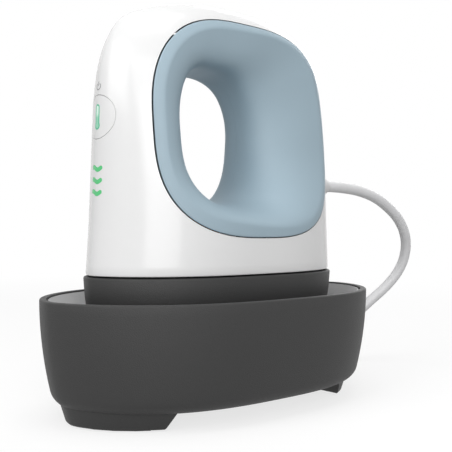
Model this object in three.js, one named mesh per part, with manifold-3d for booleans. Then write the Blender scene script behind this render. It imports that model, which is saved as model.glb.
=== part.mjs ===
// Mini heat press in its resting base, with its cord put away in a coil. Millimetres, +Z up.
// The nose with the button faces -Y, the cord leaves at +Y, and the origin is on the table
// under the middle of the base.
import * as THREE from 'three';
import { mergeVertices } from 'three/addons/utils/BufferGeometryUtils.js';
import Module from 'manifold-3d';

const wasm = await Module();
wasm.setup();

// Clearances
const GAP = 0.3;
const HALF_TURN = Math.PI;
const FULL_TURN = 2 * Math.PI;
const QUARTER_TURN = Math.PI / 2;

// Heights of the stack, from the table up
const FOOT_HEIGHT = 5.3;
const FOOT_PAD_HEIGHT = 0.9;
const FOOT_BOTTOM = 0.6;
const BASE_HEIGHT = 36.3;
const WELL_DEPTH = 16.3;
const TUB_FLOOR = 2.2;
const REST_PAD_HEIGHT = 3.4;
const PLATE_THICKNESS = 6;
const SKIRT_HEIGHT = 12.3;
const HOOD_HEIGHT = 86;
const HOOD_LIFT = 0.4;

const TRAY_FLOOR_TOP = BASE_HEIGHT - WELL_DEPTH;
const PAD_BOTTOM = TRAY_FLOOR_TOP + GAP;
const PLATE_BOTTOM = PAD_BOTTOM + REST_PAD_HEIGHT + GAP;
const PLATE_TOP = PLATE_BOTTOM + PLATE_THICKNESS;
const SKIRT_BOTTOM = PLATE_TOP + GAP;
const SKIRT_TOP = SKIRT_BOTTOM + SKIRT_HEIGHT;
const HOOD_BOTTOM = SKIRT_TOP + HOOD_LIFT;

// Plan outlines, all of one boat-like family. The hood's half length and half width lead, and
// the rest stand a given distance outside or inside it.
const HOOD_HALF_LENGTH = 47.3;
const HOOD_HALF_WIDTH = 25.3;
const SKIRT_PROUD = 0.7;
const SKIRT_HALF_LENGTH = HOOD_HALF_LENGTH + SKIRT_PROUD;
const SKIRT_HALF_WIDTH = HOOD_HALF_WIDTH + SKIRT_PROUD;
const PLATE_END_INSET = 6.5;
const PLATE_SIDE_INSET = 1.5;
const PLATE_HALF_LENGTH = SKIRT_HALF_LENGTH - PLATE_END_INSET;
const PLATE_HALF_WIDTH = SKIRT_HALF_WIDTH - PLATE_SIDE_INSET;
const WELL_CLEARANCE = 3.5;
const WELL_HALF_LENGTH = SKIRT_HALF_LENGTH + WELL_CLEARANCE;
const WELL_HALF_WIDTH = SKIRT_HALF_WIDTH + WELL_CLEARANCE;
const BASE_END_RIM = 10;
const BASE_SIDE_RIM = 8;
const BASE_HALF_LENGTH = WELL_HALF_LENGTH + BASE_END_RIM;
const BASE_HALF_WIDTH = WELL_HALF_WIDTH + BASE_SIDE_RIM;
const FOOT_END_INSET = 7.3;
const FOOT_SIDE_INSET = 9.8;
const FOOT_HALF_LENGTH = BASE_HALF_LENGTH - FOOT_END_INSET;
const FOOT_HALF_WIDTH = BASE_HALF_WIDTH - FOOT_SIDE_INSET;
const FOOT_INNER_Y = 0.593 * BASE_HALF_LENGTH;
const BOAT_LENGTH_POWER = 2.8;
const BOAT_WIDTH_POWER = 1.6;

// Walls
const TUB_WALL = 2.1;
const TRAY_WALL = 1.8;
const SKIRT_WALL = 1.8;
const SKIRT_TAPER = 1.3;
const SKIRT_DECK = 1.5;
const HOOD_WALL = 2;
const GRIP_WALL = 2;
const GRIP_PROUD = 0.2;
const LIP_WIDTH = 3.5;
const GRIP_CLEARANCE = 0.4;

// Side profile of the hood: share of its height, of its half length to the front, and to the rear
const HOOD_PROFILE = [
  [0, 1, 1],
  [0.19, 0.977, 0.983],
  [0.418, 0.962, 0.975],
  [0.59, 0.955, 0.971],
  [0.703, 0.937, 0.967],
  [0.783, 0.903, 0.955],
  [0.852, 0.846, 0.908],
  [0.909, 0.76, 0.828],
  [0.954, 0.57, 0.68],
  [0.986, 0.31, 0.42],
  [1, 0, 0],
];
const HOOD_SHOULDER_POWER = 2.6;
const HOOD_CROWN_POWER = 2.15;

// Outline of the soft insert on each flank, and of the finger opening where its two halves meet.
// Each is a rounded rectangle with its own squareness in each quarter: top rear, top front,
// bottom front and bottom rear.
const RING = {
  y: 0.0264 * HOOD_HALF_LENGTH,
  z: HOOD_BOTTOM + 0.528 * HOOD_HEIGHT,
  halfLength: 0.779 * HOOD_HALF_LENGTH,
  halfHeight: 0.3977 * HOOD_HEIGHT,
  powers: [3.57, 2.55, 3.15, 2.6],
};
const OPENING = {
  y: -0.1332 * HOOD_HALF_LENGTH,
  z: HOOD_BOTTOM + 0.4965 * HOOD_HEIGHT,
  halfLength: 0.3277 * HOOD_HALF_LENGTH,
  halfHeight: 0.2488 * HOOD_HEIGHT,
  powers: [2.3, 3.5, 2.5, 3.6],
};

// How squarely the insert turns in to the opening at the rear, top, front and bottom
const SADDLE_POWERS = [2.6, 4.6, 2.5, 1.9];

// Nose controls
const BUTTON_Z = HOOD_BOTTOM + 0.543 * HOOD_HEIGHT;
const BUTTON_RADIUS = 6.4;
const BUTTON_DEPTH = 4.7;
const BUTTON_TRAVEL = 0.6;
const STEM_RADIUS = 2;
const LENS_HALF_WIDTH = 1.5;
const LENS_HEIGHT = 7.5;
const LENS_FLOOR = 1;
const LIGHTS_BELOW_BUTTON = 15.1;
const LIGHT_SPACING = 3.55;
const LIGHT_HALF_WIDTH = 2.6;
const LIGHT_STROKE = 1.25;
const LIGHT_WAVE = 0.42;
const LIGHT_DEPTH = 9.5;
const LIGHT_ZS = [0, 1, 2].map((k) => BUTTON_Z - LIGHTS_BELOW_BUTTON - k * LIGHT_SPACING);

// Circuit boards
const BOARD_THICKNESS = 1.6;
const CONTROL_BOARD_SETBACK = 11.9;
const CONTROL_BOARD_Y = -HOOD_HALF_LENGTH + CONTROL_BOARD_SETBACK;
const CONTROL_BOARD_WIDTH = 14;
const BOARD_BELOW_BUTTON = 30.5;
const BOARD_ABOVE_BUTTON = 13.5;
const CONTROL_BOARD_LOW = BUTTON_Z - BOARD_BELOW_BUTTON;
const CONTROL_BOARD_HIGH = BUTTON_Z + BOARD_ABOVE_BUTTON;
const CONTROL_SCREW_INSET = 2.9;
const CONTROL_SCREW_ZS = [
  CONTROL_BOARD_LOW + CONTROL_SCREW_INSET,
  CONTROL_BOARD_HIGH - CONTROL_SCREW_INSET,
];
const CONTROL_SCREW_REACH = 5.5;
const CONTROL_SCREW_TIP = CONTROL_BOARD_Y - CONTROL_SCREW_REACH;
const SWITCH_HEIGHT = 3.4;
const SWITCH_PLUNGER = 0.6;
const SWITCH_HALF = 3;
const PLUNGER_RADIUS = 1.7;
const EMITTER_HALF_HEIGHT = 0.9;
const EMITTER_HALF_WIDTH = 1;
const POWER_BOARD_END_INSET = 17.4;
const POWER_BOARD_SIDE_INSET = 10.3;
const POWER_BOARD_LENGTH = 2 * (HOOD_HALF_LENGTH - POWER_BOARD_END_INSET);
const POWER_BOARD_WIDTH = 2 * (HOOD_HALF_WIDTH - POWER_BOARD_SIDE_INSET);
const POWER_BOARD_LIFT = 7.1;
const POWER_POST_INSET = 4.5;
const POWER_POST_Y = POWER_BOARD_LENGTH / 2 - POWER_POST_INSET;
const CAPACITOR_CLEARANCE = 1.5;
const CAPACITOR_TOP = OPENING.z - OPENING.halfHeight - GRIP_WALL - CAPACITOR_CLEARANCE;
const CAPACITOR_SIZE = [8.5, 18];
const CAPACITOR_AT = [-6, -6];
const TRIAC_TALLER = 1.5;
const TRIAC_TOP = CAPACITOR_TOP + TRIAC_TALLER;
const TRIAC_SIZE = [10, 4.5];
const TRIAC_AT = [6.5, 10];

// Heater
const MICA_THICKNESS = 0.8;
const UNDER_AND_OVER_INSULATION = 9.5;
const INSULATION_THICKNESS = SKIRT_HEIGHT - UNDER_AND_OVER_INSULATION;
const SHIELD_THICKNESS = 0.8;
const SHEET_END_INSET = 6.5;
const SHEET_SIDE_INSET = 2.2;
const SHEET_HALF_LENGTH = PLATE_HALF_LENGTH - SHEET_END_INSET;
const SHEET_HALF_WIDTH = PLATE_HALF_WIDTH - SHEET_SIDE_INSET;
const STANDOFF_SIDE_INSET = 9;
const STANDOFF_LENGTH_SHARE = 0.458;
const STANDOFF_X = PLATE_HALF_WIDTH - STANDOFF_SIDE_INSET;
const STANDOFF_Y = STANDOFF_LENGTH_SHARE * PLATE_HALF_LENGTH;
const STANDOFF_RADIUS = 2.7;
const ELEMENT_RADIUS = 2.1;
const ELEMENT_FROM_STANDOFF = 6.5;
const ELEMENT_BEND = STANDOFF_X - ELEMENT_FROM_STANDOFF;
const ELEMENT_FRONT_INSET = 19;
const ELEMENT_REAR_INSET = 8;
const ELEMENT_FRONT_Y = ELEMENT_FRONT_INSET - SHEET_HALF_LENGTH;
const ELEMENT_REAR_Y = SHEET_HALF_LENGTH - ELEMENT_REAR_INSET;
const SENSOR_RADIUS = 1.5;
const SENSOR_LENGTH = 10;
const SENSOR_Y = -7;
const FUSE_RADIUS = 1.9;
const FUSE_LENGTH = 12;
const FUSE_Y = 11;

// Screws
const SCREW_RADIUS = 1.3;
const SCREW_HEAD_RADIUS = 2.5;
const SCREW_HEAD_HEIGHT = 1.8;
const PIN_HOLE = SCREW_RADIUS + GAP;
const HOOD_SCREW_INSET = 7.9;
const HOOD_SCREW_Y = HOOD_HALF_LENGTH - HOOD_SCREW_INSET;
const HOOD_BOSS_HEIGHT = 9;
const HOOD_BOSS_TOP = HOOD_BOTTOM + HOOD_BOSS_HEIGHT;
const TRAY_SCREW_SIDE_INSET = 17.5;
const TRAY_SCREW_END_INSET = 32.5;
const TRAY_SCREW_X = BASE_HALF_WIDTH - TRAY_SCREW_SIDE_INSET;
const TRAY_SCREW_Y = BASE_HALF_LENGTH - TRAY_SCREW_END_INSET;
const TRAY_SCREW_BITE = 5;
const BOSS_RADIUS = 3.2;

// Cord: a 4.2 mm round lead, its coil, and a plug with two flat blades
const CORD_DIAMETER = 4.2;
const CORD_SIDES = 8;
const RELIEF_RISE = 29.6;
const RELIEF_Z = HOOD_BOTTOM + RELIEF_RISE;
const RELIEF_OUTSIDE = 6.2;
const RELIEF_TIP_Y = HOOD_HALF_LENGTH + RELIEF_OUTSIDE;
const RELIEF_TIP_RADIUS = 2.8;
const RELIEF_ROOT_RADIUS = 4.1;
const RELIEF_FLANGE_RADIUS = 5.8;
const RELIEF_LENGTH = 21;
const RELIEF_SEAT_DEPTH = 2.7;
const CLIP_THICKNESS = 1;
const CLIP_RADIUS = 6.6;
const COIL_FROM_BASE = 32.4;
const COIL_X = -BASE_HALF_WIDTH - COIL_FROM_BASE;
const COIL_Y = 36;
const COIL_LIFT = 1.25;
const COIL_LAYERS = 4;
const COIL_TURNS_PER_LAYER = 2.625;
const COIL_PITCH = 4.8;
const COIL_OUTER = 29.5;
const COIL_STEPS_PER_TURN = 24;
const COIL_SIDES = 6;
const TIE_WIDTH = 7;
const TIE_THICKNESS = 0.8;
const TIE_SLACK = 0.7;
const TIE_ANGLE_DEG = 235;
const PLUG_LENGTH = 24;
const PLUG_WIDTH = 22;
const PLUG_HEIGHT = 12;
const PLUG_BOOT_LENGTH = 11;
const BLADE_LENGTH = 16;
const BLADE_WIDTH = 6.3;
const BLADE_THICKNESS = 1.5;
const BLADE_SPACING = 12.7;
const BLADE_HOLE_RADIUS = 1.5;
const BLADE_HOLE_FROM_TIP = 3.5;
const PLUG_FROM_COIL_X = 8.3;
const PLUG_FROM_COIL_Y = 45.8;
const PLUG_X = COIL_X - PLUG_FROM_COIL_X;
const PLUG_Y = COIL_Y + PLUG_FROM_COIL_Y;
const PLUG_TURN_DEG = 135;

// Facets round the small parts, and how far a cutting tool runs past the face that it opens
const BUTTON_SIDES = 32;
const ROUND_SIDES = 16;
const HOLE_SIDES = 12;
const SHANK_SIDES = 8;
const PAST = 1;

const COLOURS = {
  white: 0xf6f3f2,
  soft_blue: 0x9cb6c4,
  dark_grey: 0x48484a,
  tray_grey: 0x77787a,
  skirt_black: 0x38383a,
  cord_white: 0xdedfe1,
  green: 0x6fdca0,
  rubber: 0x2a2a2b,
  steel: 0xb4b7ba,
  aluminium: 0xa9abae,
  ceramic: 0xe8e2d6,
  mica: 0xb9a27c,
  board: 0x2d6b45,
  black: 0x232325,
  copper: 0xb98a52,
  felt: 0xdad7cf,
};

const part = new THREE.Group();

// A material of the given colour, roughness and metalness
function material(colour, roughness, metalness = 0) {
  return new THREE.MeshStandardMaterial({ color: colour, roughness, metalness });
}

function addPiece(name, geometry, surface) {
  const mesh = new THREE.Mesh(geometry, surface);
  mesh.name = name;
  part.add(mesh);
  return mesh;
}

// Solids for joining and cutting, and the geometry that comes back
function solid(geometry) {
  const bare = geometry.clone();
  bare.deleteAttribute('normal');
  bare.deleteAttribute('uv');
  const merged = mergeVertices(bare, 1e-4);
  return new wasm.Manifold(new wasm.Mesh({
    numProp: 3,
    vertProperties: new Float32Array(merged.attributes.position.array),
    triVerts: new Uint32Array(merged.index.array),
  }));
}

function toGeometry(shape) {
  const mesh = shape.getMesh();
  const geometry = new THREE.BufferGeometry();
  const places = new Float32Array(mesh.vertProperties);
  geometry.setAttribute('position', new THREE.BufferAttribute(places, 3));
  geometry.setIndex(new THREE.BufferAttribute(new Uint32Array(mesh.triVerts), 1));
  geometry.computeVertexNormals();
  return geometry;
}

function cut(geometry, ...tools) {
  let shape = solid(geometry);
  for (const tool of tools) shape = shape.subtract(solid(tool));
  return toGeometry(shape);
}

function join(geometry, ...others) {
  let shape = solid(geometry);
  for (const other of others) shape = shape.add(solid(other));
  return toGeometry(shape);
}

function common(geometry, other) {
  return toGeometry(solid(geometry).intersect(solid(other)));
}

// Plain round and square stock
const UP = new THREE.Vector3(0, 0, 1);
const CYLINDER_AXIS = new THREE.Vector3(0, 1, 0);

function rod(radius, start, end, sides = ROUND_SIDES) {
  const from = new THREE.Vector3(...start);
  const to = new THREE.Vector3(...end);
  const along = to.clone().sub(from);
  const geometry = new THREE.CylinderGeometry(radius, radius, along.length(), sides);
  along.normalize();
  geometry.applyQuaternion(new THREE.Quaternion().setFromUnitVectors(CYLINDER_AXIS, along));
  const middle = from.add(to).multiplyScalar(0.5);
  geometry.translate(middle.x, middle.y, middle.z);
  return geometry;
}

function block(low, high) {
  const geometry = new THREE.BoxGeometry(high[0] - low[0], high[1] - low[1], high[2] - low[2]);
  geometry.translate((low[0] + high[0]) / 2, (low[1] + high[1]) / 2, (low[2] + high[2]) / 2);
  return geometry;
}

// A skin over rings of points with equal counts. Rings run counter-clockwise seen from the side
// that the skin ends on. It is closed by fans at both ends, or by joining the last ring to the first.
function skin(rings, joined = false) {
  const count = rings[0].length;
  const positions = [];
  const index = [];
  for (const ring of rings) for (const point of ring) positions.push(point.x, point.y, point.z);
  const levels = joined ? rings.length : rings.length - 1;
  for (let level = 0; level < levels; level += 1) {
    const upper = ((level + 1) % rings.length) * count;
    const lower = level * count;
    for (let i = 0; i < count; i += 1) {
      const next = (i + 1) % count;
      index.push(lower + i, lower + next, upper + next, lower + i, upper + next, upper + i);
    }
  }
  if (!joined) {
    const fan = (ring, start, flip) => {
      const centre = new THREE.Vector3();
      for (const point of ring) centre.add(point);
      centre.divideScalar(count);
      const hub = positions.length / 3;
      positions.push(centre.x, centre.y, centre.z);
      for (let i = 0; i < count; i += 1) {
        const next = (i + 1) % count;
        if (flip) index.push(hub, start + next, start + i);
        else index.push(hub, start + i, start + next);
      }
    };
    fan(rings[0], 0, true);
    fan(rings[rings.length - 1], (rings.length - 1) * count, false);
  }
  const geometry = new THREE.BufferGeometry();
  geometry.setAttribute('position', new THREE.BufferAttribute(new Float32Array(positions), 3));
  geometry.setIndex(index);
  geometry.computeVertexNormals();
  return geometry;
}

// The boat-like plan outline, with its points evenly spaced along it
const RING_POINTS = 40;
const FINE_SAMPLES = 1440;

function boatWidth(share) {
  return Math.max(1 - Math.abs(share) ** BOAT_LENGTH_POWER, 0) ** (1 / BOAT_WIDTH_POWER);
}

function boatOutline(halfWidth, front, rear, z, count = RING_POINTS) {
  const fine = [];
  for (let i = 0; i <= FINE_SAMPLES; i += 1) {
    const angle = (FULL_TURN * i) / FINE_SAMPLES;
    const c = Math.cos(angle);
    const s = Math.sin(angle);
    const x = Math.sign(c) * Math.abs(c) ** (2 / BOAT_WIDTH_POWER) * halfWidth;
    const y = Math.sign(s) * Math.abs(s) ** (2 / BOAT_LENGTH_POWER) * (s < 0 ? front : rear);
    fine.push(new THREE.Vector3(x, y, z));
  }
  const along = [0];
  for (let i = 1; i < fine.length; i += 1) along.push(along[i - 1] + fine[i].distanceTo(fine[i - 1]));
  const total = along[FINE_SAMPLES];
  if (total === 0) return fine.slice(0, count);
  const ring = [];
  let at = 0;
  for (let k = 0; k < count; k += 1) {
    const target = (total * k) / count;
    while (along[at + 1] < target) at += 1;
    const share = (target - along[at]) / (along[at + 1] - along[at]);
    ring.push(fine[at].clone().lerp(fine[at + 1], share));
  }
  return ring;
}

function boatRing(halfLength, halfWidth, z, inset = 0, count = RING_POINTS) {
  return boatOutline(halfWidth - inset, halfLength - inset, halfLength - inset, z, count);
}

// A flat plate with the boat outline
function boatPlate(halfLength, halfWidth, low, high, count = RING_POINTS) {
  return skin([low, high].map((z) => boatRing(halfLength, halfWidth, z, 0, count)));
}

// A screw with its head at start, running towards end
function screw(start, end, radius = SCREW_RADIUS, headRadius = SCREW_HEAD_RADIUS) {
  const from = new THREE.Vector3(...start);
  const along = new THREE.Vector3(...end).sub(from).normalize();
  const neck = from.clone().addScaledVector(along, SCREW_HEAD_HEIGHT);
  const overlap = neck.clone().addScaledVector(along, -SCREW_HEAD_HEIGHT / 2);
  const head = rod(headRadius, start, neck.toArray(), HOLE_SIDES);
  const shank = rod(radius, overlap.toArray(), end, SHANK_SIDES);
  return join(head, shank);
}

// Base tub: one deep moulding whose walls curve in to the foot, with two crescent feet under it
const TUB_CURVE = 4.2;
const TUB_CORNER = 4;
const TUB_CORNER_STEPS = 3;
const TUB_LEVELS = [0.15, 0.34, 0.56, 0.78, 1];
const TUB_INNER_LEVELS = [0.7, 0.4, 0.2];
const FOOT_PAD_INSET = 2.2;
const SCREW_SOCKET_RADIUS = 4.2;

function tubInset(z) {
  const down = (BASE_HEIGHT - z) / (BASE_HEIGHT - FOOT_HEIGHT);
  return TUB_CURVE * down * down;
}

function tubRings() {
  const rings = [];
  for (let k = 0; k < TUB_CORNER_STEPS; k += 1) {
    const turn = (QUARTER_TURN * k) / TUB_CORNER_STEPS;
    const z = FOOT_HEIGHT + TUB_CORNER * (1 - Math.cos(turn));
    const inset = TUB_CORNER * (1 - Math.sin(turn)) + tubInset(z);
    rings.push(boatRing(BASE_HALF_LENGTH, BASE_HALF_WIDTH, z, inset));
  }
  for (const share of TUB_LEVELS) {
    const z = FOOT_HEIGHT + TUB_CORNER + share * (BASE_HEIGHT - FOOT_HEIGHT - TUB_CORNER);
    rings.push(boatRing(BASE_HALF_LENGTH, BASE_HALF_WIDTH, z, tubInset(z)));
  }
  return rings;
}

function tubCavityRings() {
  const floor = FOOT_HEIGHT + TUB_FLOOR;
  const rings = [boatRing(BASE_HALF_LENGTH, BASE_HALF_WIDTH, BASE_HEIGHT, TUB_WALL)];
  for (const share of TUB_INNER_LEVELS) {
    const z = floor + share * (BASE_HEIGHT - floor);
    rings.push(boatRing(BASE_HALF_LENGTH, BASE_HALF_WIDTH, z, tubInset(z) + TUB_WALL));
  }
  const corner = tubInset(floor) + TUB_WALL + TUB_CORNER;
  rings.push(boatRing(BASE_HALF_LENGTH, BASE_HALF_WIDTH, floor, corner));
  return rings;
}

// One crescent foot. side is -1 at the front and 1 at the rear, and its inner end leans outwards
// going up.
const FOOT_FLARE = 1.6;
const FOOT_LEAN = 3;
const FOOT_ROOT = 1;

function crescent(side, low, high, inset, lean) {
  const flare = (FOOT_FLARE * (high - low)) / FOOT_HEIGHT;
  const outline = skin([
    boatRing(FOOT_HALF_LENGTH, FOOT_HALF_WIDTH, low, inset),
    boatRing(FOOT_HALF_LENGTH, FOOT_HALF_WIDTH, high, inset - flare),
  ]);
  const innerLow = FOOT_INNER_Y + inset;
  const wide = BASE_HALF_WIDTH;
  const far = BASE_HALF_LENGTH;
  const level = (inner, z) => {
    const corners = [[wide, inner], [wide, far], [-wide, far], [-wide, inner]];
    if (side < 0) corners.reverse();
    return corners.map(([x, y]) => new THREE.Vector3(x, side * y, z));
  };
  return common(outline, skin([level(innerLow, low), level(innerLow - lean, high)]));
}

// The four places of X and Y that lie evenly about the middle
function fourSpots(x, y) {
  return [[-x, -y], [-x, y], [x, -y], [x, y]];
}

function traySpots() {
  return fourSpots(TRAY_SCREW_X, TRAY_SCREW_Y);
}

// Top of the four sockets in the tub's floor that swallow the screw heads
function traySocketTop() {
  return FOOT_HEIGHT + GAP + SCREW_HEAD_HEIGHT + GAP + TUB_FLOOR;
}

function makeTub() {
  const shell = skin([...tubRings(), ...tubCavityRings()]);
  const feet = [-1, 1].map((side) => (
    crescent(side, FOOT_BOTTOM, FOOT_HEIGHT + FOOT_ROOT, 0, FOOT_LEAN)));
  const socketTop = traySocketTop();
  const sockets = traySpots().map(([x, y]) => (
    rod(SCREW_SOCKET_RADIUS, [x, y, FOOT_HEIGHT + TUB_FLOOR / 2], [x, y, socketTop])));
  const headTop = socketTop - TUB_FLOOR;
  const holes = traySpots().flatMap(([x, y]) => [
    rod(PIN_HOLE, [x, y, FOOT_HEIGHT], [x, y, socketTop + PAST], HOLE_SIDES),
    rod(SCREW_HEAD_RADIUS + GAP, [x, y, FOOT_HEIGHT - PAST], [x, y, headTop], HOLE_SIDES),
  ]);
  const recesses = [-1, 1].map((side) => (
    crescent(side, -GAP, FOOT_PAD_HEIGHT + GAP, FOOT_PAD_INSET - GAP, 0)));
  const tub = cut(join(shell, ...feet, ...sockets), ...holes, ...recesses);
  addPiece('base_tub', tub, material(COLOURS.dark_grey, 0.6));
  const pads = { front: -1, rear: 1 };
  for (const [end, side] of Object.entries(pads)) {
    const pad = crescent(side, 0, FOOT_PAD_HEIGHT, FOOT_PAD_INSET, 0);
    addPiece(`foot_pad_${end}`, pad, material(COLOURS.rubber, 0.9));
  }
}

makeTub();

// Inner tray: it lines the tub, slopes in from the rim and drops to the well that the press rests in
const TRAY_RIM_DROP = 0.5;
const TRAY_SHOULDER_DROP = 4.1;
const TRAY_LIP_DROP = 6.5;
const TRAY_SHOULDER_Z = BASE_HEIGHT - TRAY_SHOULDER_DROP;
const TRAY_LIP_Z = BASE_HEIGHT - TRAY_LIP_DROP;

function makeTray() {
  const outer = TUB_WALL + GAP;
  const rimTop = BASE_HEIGHT - TRAY_RIM_DROP;
  const shoulder = outer + tubInset(TRAY_SHOULDER_Z);
  const base = (z, inset) => boatRing(BASE_HALF_LENGTH, BASE_HALF_WIDTH, z, inset);
  const well = (z, inset) => boatRing(WELL_HALF_LENGTH, WELL_HALF_WIDTH, z, inset);
  const tray = skin([
    well(TRAY_FLOOR_TOP - TRAY_WALL, TRAY_WALL),
    well(TRAY_FLOOR_TOP, 0),
    well(TRAY_LIP_Z - TRAY_WALL, -TRAY_WALL),
    base(TRAY_SHOULDER_Z - TRAY_WALL, shoulder + TRAY_WALL),
    base(TRAY_SHOULDER_Z, shoulder),
    base(rimTop, outer),
    base(rimTop, outer + TRAY_WALL / 2),
    well(TRAY_SHOULDER_Z - GAP, -TRAY_WALL),
    well(TRAY_LIP_Z, -GAP),
    well(TRAY_FLOOR_TOP + TRAY_WALL, TRAY_WALL),
    well(TRAY_FLOOR_TOP, 2 * TRAY_WALL),
  ]);
  const bossLow = traySocketTop() + GAP;
  const bossTop = TRAY_FLOOR_TOP - TRAY_WALL / 2;
  const bosses = traySpots().map(([x, y]) => rod(BOSS_RADIUS, [x, y, bossLow], [x, y, bossTop]));
  const pilotTop = bossLow + TRAY_SCREW_BITE + GAP;
  const pilots = traySpots().map(([x, y]) => (
    rod(PIN_HOLE, [x, y, bossLow - GAP], [x, y, pilotTop], HOLE_SIDES)));
  addPiece('base_tray', cut(join(tray, ...bosses), ...pilots), material(COLOURS.tray_grey, 0.55));
  traySpots().forEach(([x, y], i) => {
    const head = FOOT_HEIGHT + GAP;
    const body = screw([x, y, head], [x, y, bossLow + TRAY_SCREW_BITE]);
    addPiece(`tray_screw_${i + 1}`, body, material(COLOURS.steel, 0.4, 0.9));
  });
}

makeTray();

// Four heat-proof pads on the tray floor carry the hot plate
const REST_PAD_RADIUS = 4;
const REST_PAD_END_INSET = 11.5;
const REST_PAD_SIDE_INSET = 10.5;
const REST_PAD_Y = PLATE_HALF_LENGTH - REST_PAD_END_INSET;
const REST_PAD_X = PLATE_HALF_WIDTH - REST_PAD_SIDE_INSET;

function makeRestPads() {
  const places = {
    front: [0, -REST_PAD_Y],
    rear: [0, REST_PAD_Y],
    left: [-REST_PAD_X, 0],
    right: [REST_PAD_X, 0],
  };
  for (const [side, [x, y]] of Object.entries(places)) {
    const pad = rod(REST_PAD_RADIUS, [x, y, PAD_BOTTOM], [x, y, PAD_BOTTOM + REST_PAD_HEIGHT]);
    addPiece(`rest_pad_${side}`, pad, material(COLOURS.rubber, 0.85));
  }
}

makeRestPads();

// Heat plate, with blind holes for the four standoff screws
function standoffSpots() {
  return fourSpots(STANDOFF_X, STANDOFF_Y);
}

const PLATE_EDGE = 1.2;
const PLATE_HOLE_DEPTH = 4;

function makePlate() {
  const body = skin([
    boatRing(PLATE_HALF_LENGTH, PLATE_HALF_WIDTH, PLATE_BOTTOM, PLATE_EDGE),
    boatRing(PLATE_HALF_LENGTH, PLATE_HALF_WIDTH, PLATE_BOTTOM + PLATE_EDGE),
    boatRing(PLATE_HALF_LENGTH, PLATE_HALF_WIDTH, PLATE_TOP),
  ]);
  const holes = standoffSpots().map(([x, y]) => (
    rod(PIN_HOLE, [x, y, PLATE_TOP - PLATE_HOLE_DEPTH], [x, y, PLATE_TOP + PAST], HOLE_SIDES)));
  addPiece('heat_plate', cut(body, ...holes), material(COLOURS.aluminium, 0.45, 0.6));
}

makePlate();

// A smooth curve through hand-picked points, and a tube with a faceted section along it
function curveThrough(points) {
  return new THREE.CatmullRomCurve3(points, false, 'centripetal');
}

function roundSection(diameter, sides) {
  const section = new THREE.Shape();
  for (let i = 0; i < sides; i += 1) {
    const angle = (FULL_TURN * (i + 0.5)) / sides;
    const x = (diameter / 2) * Math.cos(angle);
    const y = (diameter / 2) * Math.sin(angle);
    if (i === 0) section.moveTo(x, y);
    else section.lineTo(x, y);
  }
  section.closePath();
  return section;
}

function tubeAlong(path, diameter, sides, steps) {
  return new THREE.ExtrudeGeometry(roundSection(diameter, sides), {
    extrudePath: path,
    steps,
    curveSegments: sides,
    bevelEnabled: false,
  });
}

// Heating element: a bent tube lying on the plate, with the sensor and the fuse between its legs
const ELEMENT_BEND_STEPS = 6;
const ELEMENT_STEPS = 28;

function makeHeater() {
  const z = PLATE_TOP + GAP + ELEMENT_RADIUS;
  const legYs = [ELEMENT_REAR_Y, ELEMENT_REAR_Y / 2, 0];
  const points = legYs.map((y) => new THREE.Vector3(ELEMENT_BEND, y, z));
  for (let k = 0; k <= ELEMENT_BEND_STEPS; k += 1) {
    const angle = (HALF_TURN * k) / ELEMENT_BEND_STEPS;
    const x = ELEMENT_BEND * Math.cos(angle);
    points.push(new THREE.Vector3(x, ELEMENT_FRONT_Y - ELEMENT_BEND * Math.sin(angle), z));
  }
  for (const y of legYs.reverse()) points.push(new THREE.Vector3(-ELEMENT_BEND, y, z));
  const tube = tubeAlong(curveThrough(points), 2 * ELEMENT_RADIUS, SHANK_SIDES, ELEMENT_STEPS);
  addPiece('heating_element', tube, material(COLOURS.copper, 0.4, 0.8));
  const between = (radius, length, y) => {
    const height = PLATE_TOP + GAP + radius;
    return rod(radius, [0, y - length / 2, height], [0, y + length / 2, height]);
  };
  const sensor = between(SENSOR_RADIUS, SENSOR_LENGTH, SENSOR_Y);
  addPiece('temperature_sensor', sensor, material(COLOURS.ceramic, 0.6));
  const fuse = between(FUSE_RADIUS, FUSE_LENGTH, FUSE_Y);
  addPiece('thermal_fuse', fuse, material(COLOURS.steel, 0.4, 0.8));
}

makeHeater();

// Mica sheet, felt pad and steel shield, stacked over the element and pierced by the standoffs
const SHEET_POINTS = 28;

function makeSheets() {
  const holes = standoffSpots().map(([x, y]) => (
    rod(STANDOFF_RADIUS + GAP, [x, y, PLATE_TOP], [x, y, SKIRT_TOP], HOLE_SIDES)));
  let low = PLATE_TOP + 2 * GAP + 2 * ELEMENT_RADIUS;
  const layers = [
    ['mica_sheet', MICA_THICKNESS, material(COLOURS.mica, 0.5)],
    ['insulation_felt', INSULATION_THICKNESS, material(COLOURS.felt, 0.95)],
    ['heat_shield', SHIELD_THICKNESS, material(COLOURS.steel, 0.35, 0.9)],
  ];
  for (const [name, thickness, surface] of layers) {
    const high = low + thickness;
    const sheet = boatPlate(SHEET_HALF_LENGTH, SHEET_HALF_WIDTH, low, high, SHEET_POINTS);
    addPiece(name, cut(sheet, ...holes), surface);
    low = high + GAP;
  }
}

makeSheets();

// Skirt: dark collar around the heater, its deck holding the standoffs below and the board above
const SKIRT_EDGE = 0.6;
const DECK_BOTTOM = SKIRT_TOP - SKIRT_DECK;
const POST_RADIUS = 3;
const WIRE_HOLE_RADIUS = 3.5;
const POWER_BOARD_BOTTOM = SKIRT_TOP + POWER_BOARD_LIFT + GAP;

// A round hole down through the deck
function deckHole(radius, x, y) {
  return rod(radius, [x, y, DECK_BOTTOM - PAST], [x, y, SKIRT_TOP + PAST], HOLE_SIDES);
}

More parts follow.
